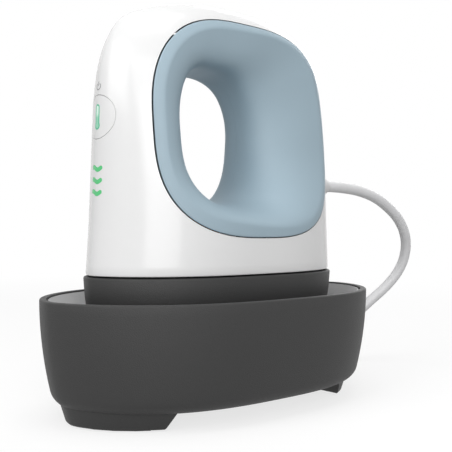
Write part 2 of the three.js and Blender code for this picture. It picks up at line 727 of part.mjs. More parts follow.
function makeSkirt() {
  const ring = (z, inset) => boatRing(SKIRT_HALF_LENGTH, SKIRT_HALF_WIDTH, z, inset);
  const body = skin([
    ring(DECK_BOTTOM, SKIRT_WALL),
    ring(SKIRT_BOTTOM, SKIRT_TAPER + SKIRT_WALL),
    ring(SKIRT_BOTTOM, SKIRT_TAPER + SKIRT_EDGE),
    ring(SKIRT_BOTTOM + SKIRT_EDGE, SKIRT_TAPER),
    ring((SKIRT_BOTTOM + SKIRT_TOP) / 2, SKIRT_TAPER / 3),
    ring(SKIRT_TOP - SKIRT_EDGE, 0),
    ring(SKIRT_TOP, SKIRT_EDGE),
  ]);
  const postYs = [-POWER_POST_Y, POWER_POST_Y];
  const posts = postYs.map((y) => (
    rod(POST_RADIUS, [0, y, SKIRT_TOP - SKIRT_DECK / 2], [0, y, SKIRT_TOP + POWER_BOARD_LIFT])));
  const pilots = postYs.map((y) => (
    rod(PIN_HOLE, [0, y, SKIRT_TOP], [0, y, POWER_BOARD_BOTTOM], HOLE_SIDES)));
  const screwHoles = standoffSpots().map(([x, y]) => deckHole(PIN_HOLE, x, y));
  const hoodHoles = [-HOOD_SCREW_Y, HOOD_SCREW_Y].map((y) => deckHole(PIN_HOLE, 0, y));
  const holes = [...pilots, ...screwHoles, ...hoodHoles, deckHole(WIRE_HOLE_RADIUS, 0, 0)];
  addPiece('skirt', cut(join(body, ...posts), ...holes), material(COLOURS.skirt_black, 0.6));
}

makeSkirt();

// Standoffs and the long screws that pull the plate up to the deck
function makeStandoffs() {
  standoffSpots().forEach(([x, y], i) => {
    const sleeve = rod(STANDOFF_RADIUS, [x, y, PLATE_TOP + GAP], [x, y, DECK_BOTTOM - GAP]);
    const bore = rod(PIN_HOLE, [x, y, PLATE_TOP], [x, y, DECK_BOTTOM], HOLE_SIDES);
    addPiece(`plate_standoff_${i + 1}`, cut(sleeve, bore), material(COLOURS.ceramic, 0.5));
    const headTop = SKIRT_TOP + GAP + SCREW_HEAD_HEIGHT;
    const body = screw([x, y, headTop], [x, y, PLATE_TOP - PLATE_HOLE_DEPTH + GAP]);
    addPiece(`plate_screw_${i + 1}`, body, material(COLOURS.steel, 0.4, 0.9));
  });
}

makeStandoffs();

// Hood: one white moulding over everything, cut through by the insert, the button, the lights
// and the cord hole
const profileCurve = (column) => {
  const levels = HOOD_PROFILE.map((row) => new THREE.Vector2(row[column], row[0]));
  const last = levels.length - 1;
  return (share) => {
    let k = 0;
    while (k < last - 1 && levels[k + 1].y < share) k += 1;
    const slope = (i) => {
      if (i === 0) return (levels[1].x - levels[0].x) / (levels[1].y - levels[0].y);
      const before = (levels[i].x - levels[i - 1].x) / (levels[i].y - levels[i - 1].y);
      if (i === last) return before;
      const after = (levels[i + 1].x - levels[i].x) / (levels[i + 1].y - levels[i].y);
      return (2 * before * after) / (before + after);
    };
    const step = levels[k + 1].y - levels[k].y;
    const t = (share - levels[k].y) / step;
    const a = levels[k].x;
    const b = levels[k + 1].x;
    const rise = slope(k) * step;
    const fall = slope(k + 1) * step;
    return a + t * (rise + t * (3 * (b - a) - 2 * rise - fall + t * (rise + fall - 2 * (b - a))));
  };
};
const frontShare = profileCurve(1);
const rearShare = profileCurve(2);

function hoodLevel(z, inset) {
  const share = THREE.MathUtils.clamp((z - HOOD_BOTTOM) / (HOOD_HEIGHT - inset), 0, 1);
  const width = HOOD_HALF_WIDTH * (1 - share ** HOOD_SHOULDER_POWER) ** (1 / HOOD_CROWN_POWER);
  const shrink = (1 - inset / HOOD_HALF_LENGTH);
  return {
    front: HOOD_HALF_LENGTH * frontShare(share) * shrink,
    rear: HOOD_HALF_LENGTH * rearShare(share) * shrink,
    width: width * (1 - inset / HOOD_HALF_WIDTH),
  };
}

function hoodRing(z, inset) {
  const level = hoodLevel(z, inset);
  return boatOutline(level.width, level.front, level.rear, z);
}

// Distance of the flank from the middle plane at a height and a length
function flankX(y, z) {
  const level = hoodLevel(z, 0);
  return level.width * boatWidth(y / (y < 0 ? level.front : level.rear));
}

const HOOD_STEPS = 10;
const APEX_STEP = HOOD_STEPS - 0.25;
const HOOD_EDGE = 0.6;

// Rings of the hood above its lower edge, closer together towards the crown
function hoodRings(inset) {
  const steps = [];
  for (let k = 1; k < HOOD_STEPS; k += 1) steps.push(k);
  steps.push(APEX_STEP);
  return steps.map((step) => {
    const share = Math.sin((QUARTER_TURN * step) / HOOD_STEPS);
    return hoodRing(HOOD_BOTTOM + (HOOD_HEIGHT - inset) * share, inset);
  });
}

function hoodSolid() {
  return skin([hoodRing(HOOD_BOTTOM, 0), ...hoodRings(0)]);
}

function hoodShell() {
  const edge = [hoodRing(HOOD_BOTTOM, HOOD_EDGE), hoodRing(HOOD_BOTTOM + HOOD_EDGE, 0)];
  const inside = [hoodRing(HOOD_BOTTOM, HOOD_WALL), ...hoodRings(HOOD_WALL)];
  return skin([...inside.reverse(), ...edge, ...hoodRings(0)]);
}

// A point of Y and Z on the outline of the insert or of the opening
function outlinePoint(outline, share) {
  const angle = FULL_TURN * share;
  const c = Math.cos(angle);
  const s = Math.sin(angle);
  const quarter = s >= 0 ? (c >= 0 ? 0 : 1) : (c < 0 ? 2 : 3);
  const power = outline.powers[quarter];
  const reach = (Math.abs(c) ** power + Math.abs(s) ** power) ** (-1 / power);
  return [outline.y + outline.halfLength * reach * c, outline.z + outline.halfHeight * reach * s];
}

const GRIP_POINTS = 40;
const TURNED_SIDES = 24;

// Flat seat inside the rear wall that the clip of the cord's strain relief bears on
function reliefSeatY() {
  return hoodLevel(RELIEF_Z, HOOD_WALL).rear - RELIEF_SEAT_DEPTH;
}

// A bar right through the hood with the insert's outline, grown by a clearance
function ringPrism(clearance) {
  const ends = [-1, 1].map((side) => {
    const ring = [];
    for (let i = 0; i < GRIP_POINTS; i += 1) {
      const [y, z] = outlinePoint(RING, i / GRIP_POINTS);
      const [y0, z0] = outlinePoint(RING, (i - 1) / GRIP_POINTS);
      const [y1, z1] = outlinePoint(RING, (i + 1) / GRIP_POINTS);
      const away = new THREE.Vector2(z1 - z0, y0 - y1).normalize().multiplyScalar(clearance);
      ring.push(new THREE.Vector3(side * 2 * HOOD_HALF_WIDTH, y + away.x, z + away.y));
    }
    return ring;
  });
  return skin(ends);
}

// A bar that runs along Y with a wavy end outline, spread on all sides by a clearance
const WAVE_STEPS = 8;
const WAVE_TURN = 0.9 * HALF_TURN;

function wavePrism(z, spread, from, to) {
  const upper = [];
  const lower = [];
  for (let k = 0; k <= WAVE_STEPS; k += 1) {
    const along = -1 + (2 * k) / WAVE_STEPS;
    const x = along * (LIGHT_HALF_WIDTH + spread);
    const wave = LIGHT_WAVE * Math.sin(along * WAVE_TURN);
    const half = LIGHT_STROKE / 2 + spread;
    upper.push([x, z - wave + half]);
    lower.push([x, z - wave - half]);
  }
  const outline = [...lower, ...upper.reverse()];
  const end = (y) => outline.map(([x, height]) => new THREE.Vector3(x, y, height));
  return skin([end(to), end(from)]);
}

const NOSE_CLEAR = 2;
const NOSE_Y = -HOOD_HALF_LENGTH - NOSE_CLEAR;
const NOSE_BOSS_RADIUS = 2.6;
const BOSS_RIB_HALF = 1.2;
const SEAT_RADIUS = CLIP_RADIUS + 1;
const EXIT_HOLE_MARGIN = 4;
const EXIT_HOLE_START = HOOD_SCREW_Y - EXIT_HOLE_MARGIN;
const EXIT_HOLE_END = HOOD_HALF_LENGTH + EXIT_HOLE_MARGIN;

function hoodBosses() {
  const pieces = [];
  for (const z of CONTROL_SCREW_ZS) {
    const wall = -hoodLevel(z, HOOD_WALL / 2).front;
    pieces.push(rod(NOSE_BOSS_RADIUS, [0, wall, z], [0, CONTROL_BOARD_Y - GAP, z]));
  }
  for (const side of [-1, 1]) {
    const y = side * HOOD_SCREW_Y;
    const foot = HOOD_BOTTOM + HOOD_EDGE;
    pieces.push(rod(BOSS_RADIUS, [0, y, foot], [0, y, HOOD_BOSS_TOP]));
    const level = hoodLevel(HOOD_BOSS_TOP, HOOD_WALL / 2);
    const wall = side * Math.min(level.front, level.rear);
    const low = [-BOSS_RIB_HALF, Math.min(y, wall), foot];
    pieces.push(block(low, [BOSS_RIB_HALF, Math.max(y, wall), HOOD_BOSS_TOP]));
  }
  const rearWall = hoodLevel(RELIEF_Z, HOOD_WALL / 2).rear;
  pieces.push(rod(SEAT_RADIUS, [0, reliefSeatY(), RELIEF_Z], [0, rearWall, RELIEF_Z], TURNED_SIDES));
  return pieces;
}

function hoodHoles() {
  const holes = [ringPrism(GRIP_CLEARANCE)];
  const buttonEnd = [0, CONTROL_BOARD_Y - BUTTON_TRAVEL, BUTTON_Z];
  holes.push(rod(BUTTON_RADIUS + GAP, [0, NOSE_Y, BUTTON_Z], buttonEnd, BUTTON_SIDES));
  for (const z of LIGHT_ZS) holes.push(wavePrism(z, GAP, NOSE_Y, CONTROL_BOARD_Y - GAP));
  for (const z of CONTROL_SCREW_ZS) {
    const tip = [0, CONTROL_SCREW_TIP - GAP, z];
    holes.push(rod(SCREW_RADIUS, tip, [0, CONTROL_BOARD_Y, z], HOLE_SIDES));
  }
  for (const y of [-HOOD_SCREW_Y, HOOD_SCREW_Y]) {
    const end = [0, y, HOOD_BOSS_TOP - HOOD_WALL];
    holes.push(rod(PIN_HOLE, [0, y, HOOD_BOTTOM - PAST], end, HOLE_SIDES));
  }
  const [start, end] = [[0, EXIT_HOLE_START, RELIEF_Z], [0, EXIT_HOLE_END, RELIEF_Z]];
  holes.push(rod(RELIEF_ROOT_RADIUS + GAP, start, end, TURNED_SIDES));
  return holes;
}

const hoodBody = cut(join(hoodShell(), ...hoodBosses()), ...hoodHoles());
addPiece('hood', hoodBody, material(COLOURS.white, 0.25));

// Insert: two soft-touch halves that line the finger opening and meet at the middle plane.
// Each is a shell that starts as a lip flush with the flank and turns in to the opening.
const GRIP_STEPS = 6;

function saddlePower(share) {
  const c = Math.cos(FULL_TURN * share);
  const s = Math.sin(FULL_TURN * share);
  const [rear, top, front, bottom] = SADDLE_POWERS;
  return (c > 0 ? rear : front) * c * c + (s > 0 ? top : bottom) * s * s;
}

// A point of the right half's face. Depth -1 is the lip's outer edge, 0 is the crease where the
// lip ends, and 1 lies in the middle plane.
function gripPoint(share, depth) {
  const [ringY, ringZ] = outlinePoint(RING, share);
  const [openY, openZ] = outlinePoint(OPENING, share);
  const reach = Math.hypot(openY - ringY, openZ - ringZ);
  const wayY = (openY - ringY) / reach;
  const wayZ = (openZ - ringZ) / reach;
  const rise = flankX(ringY + wayY, ringZ + wayZ) - flankX(ringY, ringZ);
  const lip = LIP_WIDTH / Math.hypot(1, rise);
  const onFlank = lip * Math.min(1 + depth, 1);
  const flank = flankX(ringY + wayY * onFlank, ringZ + wayZ * onFlank) + GRIP_PROUD;
  const turn = Math.max(depth, 0) * QUARTER_TURN;
  const sharpness = 2 / saddlePower(share);
  const inwards = onFlank + (reach - lip) * Math.sin(turn) ** sharpness;
  const x = flank * Math.max(Math.cos(turn), 0) ** sharpness;
  return new THREE.Vector3(x, ringY + wayY * inwards, ringZ + wayZ * inwards);
}

// The way that the face of the right half looks, from points close by
const NEARBY = 0.004;

function gripNormal(share, depth) {
  const alongRing = gripPoint(share + NEARBY, depth).sub(gripPoint(share - NEARBY, depth));
  const low = Math.max(depth - NEARBY, -1);
  const high = Math.min(depth + NEARBY, 1);
  const alongDepth = gripPoint(share, high).sub(gripPoint(share, low));
  return alongRing.cross(alongDepth).normalize();
}

function gripShell() {
  const depths = [-1];
  for (let k = 0; k <= GRIP_STEPS; k += 1) depths.push(k / GRIP_STEPS);
  const sections = [];
  for (let i = 0; i < GRIP_POINTS; i += 1) {
    const share = i / GRIP_POINTS;
    const face = [];
    const back = [];
    for (const depth of depths) {
      const outer = gripPoint(share, depth);
      const inner = outer.clone().addScaledVector(gripNormal(share, depth), -GRIP_WALL);
      if (depth === 1) {
        outer.x = GAP / 2;
        inner.x = GAP / 2;
      }
      face.push(outer);
      back.push(inner);
    }
    sections.push([...face, ...back.reverse()]);
  }
  return sections;
}

function gripGeometry(side) {
  const sections = gripShell().map((section) => (
    section.map((point) => new THREE.Vector3(side * point.x, point.y, point.z))));
  if (side > 0) sections.reverse();
  return skin(sections, true);
}

addPiece('right_grip', gripGeometry(1), material(COLOURS.soft_blue, 0.75));
addPiece('left_grip', gripGeometry(-1), material(COLOURS.soft_blue, 0.75));

// Button with its lens, and the three light guides, all finished flush with the nose
const LENS_STEPS = 8;
const LIGHT_END_Y = -HOOD_HALF_LENGTH + LIGHT_DEPTH;

function lensPrism(spread, from, to) {
  const radius = LENS_HALF_WIDTH + spread;
  const reach = LENS_HEIGHT / 2 - LENS_HALF_WIDTH;
  const outline = [];
  for (const end of [1, -1]) {
    for (let k = 0; k <= LENS_STEPS; k += 1) {
      const angle = (HALF_TURN * k) / LENS_STEPS + (end < 0 ? HALF_TURN : 0);
      const z = BUTTON_Z + end * reach + radius * Math.sin(angle);
      outline.push([radius * Math.cos(angle), z]);
    }
  }
  const ring = (y) => outline.map(([x, z]) => new THREE.Vector3(x, y, z));
  return skin([ring(to), ring(from)]);
}

function makeNose() {
  const skinSolid = hoodSolid();
  const back = -hoodLevel(BUTTON_Z, 0).front + BUTTON_DEPTH;
  const front = [0, NOSE_Y, BUTTON_Z];
  const cap = common(rod(BUTTON_RADIUS, front, [0, back, BUTTON_Z], BUTTON_SIDES), skinSolid);
  const switchFace = CONTROL_BOARD_Y - GAP - SWITCH_HEIGHT - SWITCH_PLUNGER;
  const stemEnd = [0, switchFace - GAP - BUTTON_TRAVEL, BUTTON_Z];
  const stem = rod(STEM_RADIUS, [0, back - PAST, BUTTON_Z], stemEnd);
  const lensHole = lensPrism(GAP, NOSE_Y, back - LENS_FLOOR);
  addPiece('button_cap', cut(join(cap, stem), lensHole), material(COLOURS.white, 0.3));
  const lens = common(lensPrism(0, NOSE_Y, back - LENS_FLOOR - GAP), skinSolid);
  addPiece('button_lens', lens, material(COLOURS.green, 0.3));
  LIGHT_ZS.forEach((z, i) => {
    const guide = common(wavePrism(z, 0, NOSE_Y, LIGHT_END_Y), skinSolid);
    addPiece(`light_guide_${i + 1}`, guide, material(COLOURS.green, 0.3));
  });
}

makeNose();

// Control board behind the nose, with its light emitters and the small switch
const CONTROL_HEAD_RADIUS = 2;

function makeControlBoard() {
  const half = CONTROL_BOARD_WIDTH / 2;
  const front = CONTROL_BOARD_Y;
  const rear = front + BOARD_THICKNESS;
  const board = block([-half, front, CONTROL_BOARD_LOW], [half, rear, CONTROL_BOARD_HIGH]);
  const rooted = front + BOARD_THICKNESS / 3;
  const emitters = LIGHT_ZS.map((z) => (
    block(
      [-EMITTER_HALF_WIDTH, LIGHT_END_Y + GAP, z - EMITTER_HALF_HEIGHT],
      [EMITTER_HALF_WIDTH, rooted, z + EMITTER_HALF_HEIGHT])));
  const holes = CONTROL_SCREW_ZS.map((z) => (
    rod(SCREW_RADIUS, [0, front - PAST, z], [0, rear + PAST, z], HOLE_SIDES)));
  addPiece('control_board', cut(join(board, ...emitters), ...holes), material(COLOURS.board, 0.5));
  const switchFront = front - GAP - SWITCH_HEIGHT;
  const body = block(
    [-SWITCH_HALF, switchFront, BUTTON_Z - SWITCH_HALF],
    [SWITCH_HALF, front - GAP, BUTTON_Z + SWITCH_HALF]);
  const plungerTip = [0, switchFront - SWITCH_PLUNGER, BUTTON_Z];
  const plunger = rod(PLUNGER_RADIUS, plungerTip, [0, switchFront + PAST, BUTTON_Z]);
  addPiece('tact_switch', join(body, plunger), material(COLOURS.black, 0.5));
  const names = ['lower', 'upper'];
  CONTROL_SCREW_ZS.forEach((z, i) => {
    const head = [0, rear + GAP + SCREW_HEAD_HEIGHT, z];
    const tip = [0, CONTROL_SCREW_TIP, z];
    const fastener = screw(head, tip, SCREW_RADIUS - GAP, CONTROL_HEAD_RADIUS);
    addPiece(`control_screw_${names[i]}`, fastener, material(COLOURS.steel, 0.4, 0.9));
  });
}

makeControlBoard();

// Power board on the deck's posts, with the triac and the capacitor
function makePowerBoard() {
  const low = POWER_BOARD_BOTTOM;
  const high = low + BOARD_THICKNESS;
  const [length, width] = [POWER_BOARD_LENGTH / 2, POWER_BOARD_WIDTH / 2];
  const board = block([-width, -length, low], [width, length, high]);
  const holes = [-POWER_POST_Y, POWER_POST_Y].map((y) => (
    rod(PIN_HOLE, [0, y, low - PAST], [0, y, high + PAST], HOLE_SIDES)));
  addPiece('power_board', cut(board, ...holes), material(COLOURS.board, 0.5));
  const names = { front: -POWER_POST_Y, rear: POWER_POST_Y };
  for (const [end, y] of Object.entries(names)) {
    const body = screw([0, y, high + GAP + SCREW_HEAD_HEIGHT], [0, y, SKIRT_TOP + GAP]);
    addPiece(`board_screw_${end}`, body, material(COLOURS.steel, 0.4, 0.9));
  }
  const seated = (name, size, at, top, surface) => {
    const lowCorner = [at[0] - size[0] / 2, at[1] - size[1] / 2, high + GAP];
    const highCorner = [at[0] + size[0] / 2, at[1] + size[1] / 2, top];
    addPiece(name, block(lowCorner, highCorner), surface);
  };
  seated('triac', TRIAC_SIZE, TRIAC_AT, TRIAC_TOP, material(COLOURS.black, 0.5));
  const film = material(COLOURS.copper, 0.5);
  seated('dropper_capacitor', CAPACITOR_SIZE, CAPACITOR_AT, CAPACITOR_TOP, film);
}

makePowerBoard();

// Screws up through the deck into the hood's two bosses
function makeHoodScrews() {
  const ends = { front: -HOOD_SCREW_Y, rear: HOOD_SCREW_Y };
  for (const [end, y] of Object.entries(ends)) {
    const head = DECK_BOTTOM - GAP - SCREW_HEAD_HEIGHT;
    const body = screw([0, y, head], [0, y, HOOD_BOSS_TOP - HOOD_WALL - GAP]);
    addPiece(`hood_screw_${end}`, body, material(COLOURS.steel, 0.4, 0.9));
  }
}

makeHoodScrews();

// Strain relief: a tapered sleeve through the rear wall, locked by a clip inside
const RELIEF_SIDES = 20;
const RELIEF_STRAIGHT = 1;

// A profile of radius and length turned about the cord's axis
function turned(profile) {
  const points = profile.map(([radius, y]) => new THREE.Vector2(radius, y));
  const lathe = new THREE.LatheGeometry(points, RELIEF_SIDES);
  lathe.translate(0, 0, RELIEF_Z);
  return lathe;
}

function makeRelief() {
  const rootY = RELIEF_TIP_Y - RELIEF_LENGTH;
  const seatY = reliefSeatY();
  const wallY = hoodLevel(RELIEF_Z, 0).rear;
  const bore = CORD_DIAMETER / 2 + GAP;
  const flangeY = seatY - GAP - CLIP_THICKNESS - GAP;
  const profile = [
    [bore, rootY],
    [RELIEF_FLANGE_RADIUS, rootY],
    [RELIEF_FLANGE_RADIUS, flangeY],
    [RELIEF_ROOT_RADIUS, flangeY],
    [RELIEF_ROOT_RADIUS, wallY + RELIEF_STRAIGHT],
    [RELIEF_TIP_RADIUS, RELIEF_TIP_Y],
    [bore, RELIEF_TIP_Y],
    [bore, rootY],
  ];
  addPiece('cord_relief', turned(profile), material(COLOURS.cord_white, 0.5));
  const clip = [
    [RELIEF_ROOT_RADIUS + GAP, flangeY + GAP],
    [CLIP_RADIUS, flangeY + GAP],
    [CLIP_RADIUS, seatY - GAP],
    [RELIEF_ROOT_RADIUS + GAP, seatY - GAP],
    [RELIEF_ROOT_RADIUS + GAP, flangeY + GAP],
  ];
  addPiece('relief_clip', turned(clip), material(COLOURS.steel, 0.4, 0.9));
}

makeRelief();

// Cord. The lead leaves the relief, arches out behind the press and comes down beside the coil.
const LEAD_START_Y = RELIEF_TIP_Y + GAP;
const LEAD_POINTS = [
  [0, LEAD_START_Y, RELIEF_Z], [0, LEAD_START_Y + CORD_DIAMETER, RELIEF_Z],
  [0, 64.1, 72.4], [0, 72.9, 71.6],
  [0, 82, 69.6], [-0.5, 90.8, 66.3], [-1, 99.3, 61.3], [-2, 105.3, 55.6], [-4, 109.5, 49.2],
  [-6.5, 110.7, 42.4], [-9, 109.3, 36.8], [-12, 105.7, 31.3], [-15, 100.8, 26.4], [-19, 94.2, 20],
  [-24, 86.4, 13.8], [-29.4, 77.4, 8.6], [-34.4, 67, 5.2], [-38.2, 56, 3.7],
];
const LEAD_STEPS = 30;

const degrees = (angle) => (angle * HALF_TURN) / 180;
const COIL_TURNS = COIL_LAYERS * COIL_TURNS_PER_LAYER;

// The coil runs clockwise seen from above and starts on the side of the base
function coilHeading(turns) {
  const angle = -FULL_TURN * turns;
  return new THREE.Vector3(Math.sin(angle), -Math.cos(angle), 0);
}

// Half of an easing curve: the second half when late, else the first half
function smooth(share, late) {
  const t = late ? 0.5 + share / 2 : share / 2;
  const eased = t * t * (3 - 2 * t);
  return late ? 2 * eased - 1 : 2 * eased;
}

// A point on the coil's middle line, a number of turns from its start
const COIL_CLIMB_TURNS = 0.25;

function coilPoint(turns) {
  const layer = Math.min(Math.floor(turns / COIL_TURNS_PER_LAYER), COIL_LAYERS - 1);
  const within = turns - layer * COIL_TURNS_PER_LAYER;
  const inwards = layer % 2 === 0 ? within : COIL_TURNS_PER_LAYER - within;
  const radius = COIL_OUTER - COIL_PITCH * inwards;
  let level = layer;
  const climb = COIL_CLIMB_TURNS;
  const toEnd = COIL_TURNS_PER_LAYER - within;
  if (layer > 0 && within < climb) level = layer - 0.5 + smooth(within / climb, true) / 2;
  if (layer < COIL_LAYERS - 1 && toEnd < climb) level = layer + smooth(1 - toEnd / climb, false) / 2;
  const angle = -FULL_TURN * turns;
  const z = COIL_LIFT + CORD_DIAMETER / 2 + level * COIL_PITCH;
  return new THREE.Vector3(COIL_X + radius * Math.cos(angle), COIL_Y + radius * Math.sin(angle), z);
}

// A tube with a faceted round section laid along points, its ends square
function sweep(points, diameter, sides) {
  const rings = points.map((point, i) => {
    const before = points[Math.max(i - 1, 0)];
    const after = points[Math.min(i + 1, points.length - 1)];
    const along = after.clone().sub(before).normalize();
    const across = new THREE.Vector3().crossVectors(along, UP).normalize();
    const up = new THREE.Vector3().crossVectors(across, along);
    const ring = [];
    for (let k = 0; k < sides; k += 1) {
      const angle = (FULL_TURN * (k + 0.5)) / sides;
      const radius = diameter / 2;
      ring.push(point.clone()
        .addScaledVector(across, -radius * Math.cos(angle))
        .addScaledVector(up, radius * Math.sin(angle)));
    }
    return ring;
  });
  return skin(rings);
}

// The coil's middle line, with a straight end of one cord diameter at both ends
function coilPoints() {
  const steps = Math.round(COIL_TURNS * COIL_STEPS_PER_TURN);
  const points = [coilPoint(0).addScaledVector(coilHeading(0), -CORD_DIAMETER)];
  for (let i = 0; i <= steps; i += 1) points.push(coilPoint((COIL_TURNS * i) / steps));
  points.push(coilPoint(COIL_TURNS).addScaledVector(coilHeading(COIL_TURNS), CORD_DIAMETER));
  return points;
}

// The least distance between the surfaces of turns that aren't next to each other along the coil
function leastGap(points) {
  const apart = COIL_STEPS_PER_TURN / 2;
  let least = Infinity;
  for (let i = 0; i < points.length; i += 1) {
    for (let j = i + apart; j < points.length; j += 1) {
      least = Math.min(least, points[i].distanceTo(points[j]));
    }
  }
  return least - CORD_DIAMETER;
}

function lineLength(points) {
  let total = 0;
  for (let i = 1; i < points.length; i += 1) total += points[i].distanceTo(points[i - 1]);
  return total;
}

// A point in the plug's own frame, whose boot points along its +Y, put where the plug lies
function plugPlace(x, y, z) {
  const turned = new THREE.Vector3(x, y, z).applyAxisAngle(UP, degrees(PLUG_TURN_DEG));
  return turned.add(new THREE.Vector3(PLUG_X, PLUG_Y, PLUG_HEIGHT / 2));
}

const TAIL_POINTS = [[-98.7, 52, 15.7], [-96.4, 60, 11.9], [-92.4, 67, 8]];
const TAIL_STEPS = 12;

function makeCord() {
  const surface = material(COLOURS.cord_white, 0.45);
  const coil = coilPoints();
  const first = coilHeading(0);
  const leadEnd = coil[0].clone().addScaledVector(first, -GAP);
  const leadPoints = LEAD_POINTS.map((point) => new THREE.Vector3(...point));
  leadPoints.push(leadEnd.clone().addScaledVector(first, -CORD_DIAMETER), leadEnd);
  const lead = curveThrough(leadPoints);
  addPiece('cord_lead', tubeAlong(lead, CORD_DIAMETER, CORD_SIDES, LEAD_STEPS), surface);
  addPiece('cord_coil', sweep(coil, CORD_DIAMETER, COIL_SIDES), surface);
  const last = coilHeading(COIL_TURNS);
  const tailStart = coil[coil.length - 1].clone().addScaledVector(last, GAP);
  const tailPoints = TAIL_POINTS.map((point) => new THREE.Vector3(...point));
  const bootEnd = PLUG_BOOT_LENGTH + GAP;
  const tail = curveThrough([
    tailStart, tailStart.clone().addScaledVector(last, CORD_DIAMETER), ...tailPoints,
    plugPlace(0, bootEnd + CORD_DIAMETER, 0), plugPlace(0, bootEnd, 0),
  ]);
  addPiece('cord_tail', tubeAlong(tail, CORD_DIAMETER, CORD_SIDES, TAIL_STEPS), surface);
  const total = lead.getLength() + lineLength(coil) + tail.getLength();
  const gap = leastGap(coil);
  console.log(`cord length ${total.toFixed(0)} mm, least gap between turns ${gap.toFixed(2)} mm`);
}

makeCord();

// Tie: a flat strap round the coil's bundle of turns
function makeTie() {
  const angle = degrees(TIE_ANGLE_DEG);
  const inner = COIL_OUTER - COIL_PITCH * COIL_TURNS_PER_LAYER;
  const low = COIL_LIFT - GAP;
  const high = COIL_LIFT + CORD_DIAMETER + (COIL_LAYERS - 1) * COIL_PITCH + GAP;
  const near = inner - CORD_DIAMETER / 2 - GAP;
  const far = COIL_OUTER + CORD_DIAMETER / 2 + TIE_SLACK;
  const half = TIE_WIDTH / 2;
  const outside = block(
    [near - TIE_THICKNESS, -half, low - TIE_THICKNESS],
    [far + TIE_THICKNESS, half, high + TIE_THICKNESS]);
  const inside = block([near, -TIE_WIDTH, low], [far, TIE_WIDTH, high]);
  const strap = cut(outside, inside);
  strap.rotateZ(angle);
  strap.translate(COIL_X, COIL_Y, 0);
  addPiece('cord_tie', strap, material(COLOURS.black, 0.85));
}

makeTie();

// Plug: a moulded body with a tapered boot and two flat blades
const PLUG_SECTIONS = [
  [PLUG_BOOT_LENGTH, 0.26, 0.48],
  [0, 0.42, 0.72],
  [-3, 0.62, 0.84],
  [-9, 0.94, 1],
  [1 - PLUG_LENGTH, 1, 1],
  [-PLUG_LENGTH, 0.94, 0.9],
];

const PLUG_CORNER = 0.55;
const PLUG_STEPS = 24;

function makePlug() {
  const rings = PLUG_SECTIONS.map(([y, widthShare, heightShare]) => {
    const ring = [];
    for (let k = 0; k < PLUG_STEPS; k += 1) {
      const angle = (FULL_TURN * k) / PLUG_STEPS;
      const c = Math.cos(angle);
      const s = Math.sin(angle);
      const x = Math.sign(c) * Math.abs(c) ** PLUG_CORNER * (PLUG_WIDTH / 2) * widthShare;
      const z = Math.sign(s) * Math.abs(s) ** PLUG_CORNER * (PLUG_HEIGHT / 2) * heightShare;
      ring.push(plugPlace(x, y, z));
    }
    return ring;
  });
  addPiece('plug_body', skin(rings), material(COLOURS.cord_white, 0.45));
  const sides = { left: -1, right: 1 };
  for (const [name, side] of Object.entries(sides)) {
    const x = (side * BLADE_SPACING) / 2;
    const root = -PLUG_LENGTH - GAP;
    const tip = root - BLADE_LENGTH;
    const blade = block(
      [x - BLADE_THICKNESS / 2, tip, -BLADE_WIDTH / 2],
      [x + BLADE_THICKNESS / 2, root, BLADE_WIDTH / 2]);
    const holeY = tip + BLADE_HOLE_FROM_TIP;
    const [near, far] = [[x - BLADE_THICKNESS, holeY, 0], [x + BLADE_THICKNESS, holeY, 0]];
    const cutBlade = cut(blade, rod(BLADE_HOLE_RADIUS, near, far, HOLE_SIDES));
    cutBlade.rotateZ(degrees(PLUG_TURN_DEG));
    cutBlade.translate(PLUG_X, PLUG_Y, PLUG_HEIGHT / 2);
    addPiece(`plug_blade_${name}`, cutBlade, material(COLOURS.steel, 0.3, 0.95));
  }
}

makePlug();

export default part;
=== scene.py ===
# Mini heat press standing in its base, with its cord put away in a coil beside it.
import math

import bmesh
import bpy
from mathutils import Matrix, Vector


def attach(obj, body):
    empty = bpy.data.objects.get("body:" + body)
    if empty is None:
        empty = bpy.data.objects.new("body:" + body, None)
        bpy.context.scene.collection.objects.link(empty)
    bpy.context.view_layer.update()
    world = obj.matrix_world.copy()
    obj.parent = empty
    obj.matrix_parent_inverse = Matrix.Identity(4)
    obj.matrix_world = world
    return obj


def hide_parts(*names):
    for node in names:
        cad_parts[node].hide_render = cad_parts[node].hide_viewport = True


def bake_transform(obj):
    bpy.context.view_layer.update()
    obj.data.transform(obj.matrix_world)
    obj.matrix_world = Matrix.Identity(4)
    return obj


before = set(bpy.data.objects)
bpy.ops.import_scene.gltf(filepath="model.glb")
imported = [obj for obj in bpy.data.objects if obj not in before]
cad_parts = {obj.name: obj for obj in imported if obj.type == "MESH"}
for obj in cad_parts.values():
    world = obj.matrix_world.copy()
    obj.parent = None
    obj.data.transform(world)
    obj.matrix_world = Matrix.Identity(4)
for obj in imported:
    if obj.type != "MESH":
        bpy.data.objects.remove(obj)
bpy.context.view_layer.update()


# Camera. It stands level with the middle of the press, 50 degrees round from the nose towards
# the right flank, and looks just past the middle line, as the photograph was taken.
MM = 0.001
CAMERA_TURN = math.radians(50)
CAMERA_DISTANCE = 258 * MM
CAMERA_HEIGHT = 57.7 * MM
CAMERA_AIM_ASIDE = 3.5 * MM
CAMERA_LENS = 62
CAMERA_SENSOR = 36
CAMERA_NEAR = 10 * MM
CAMERA_FAR = 50

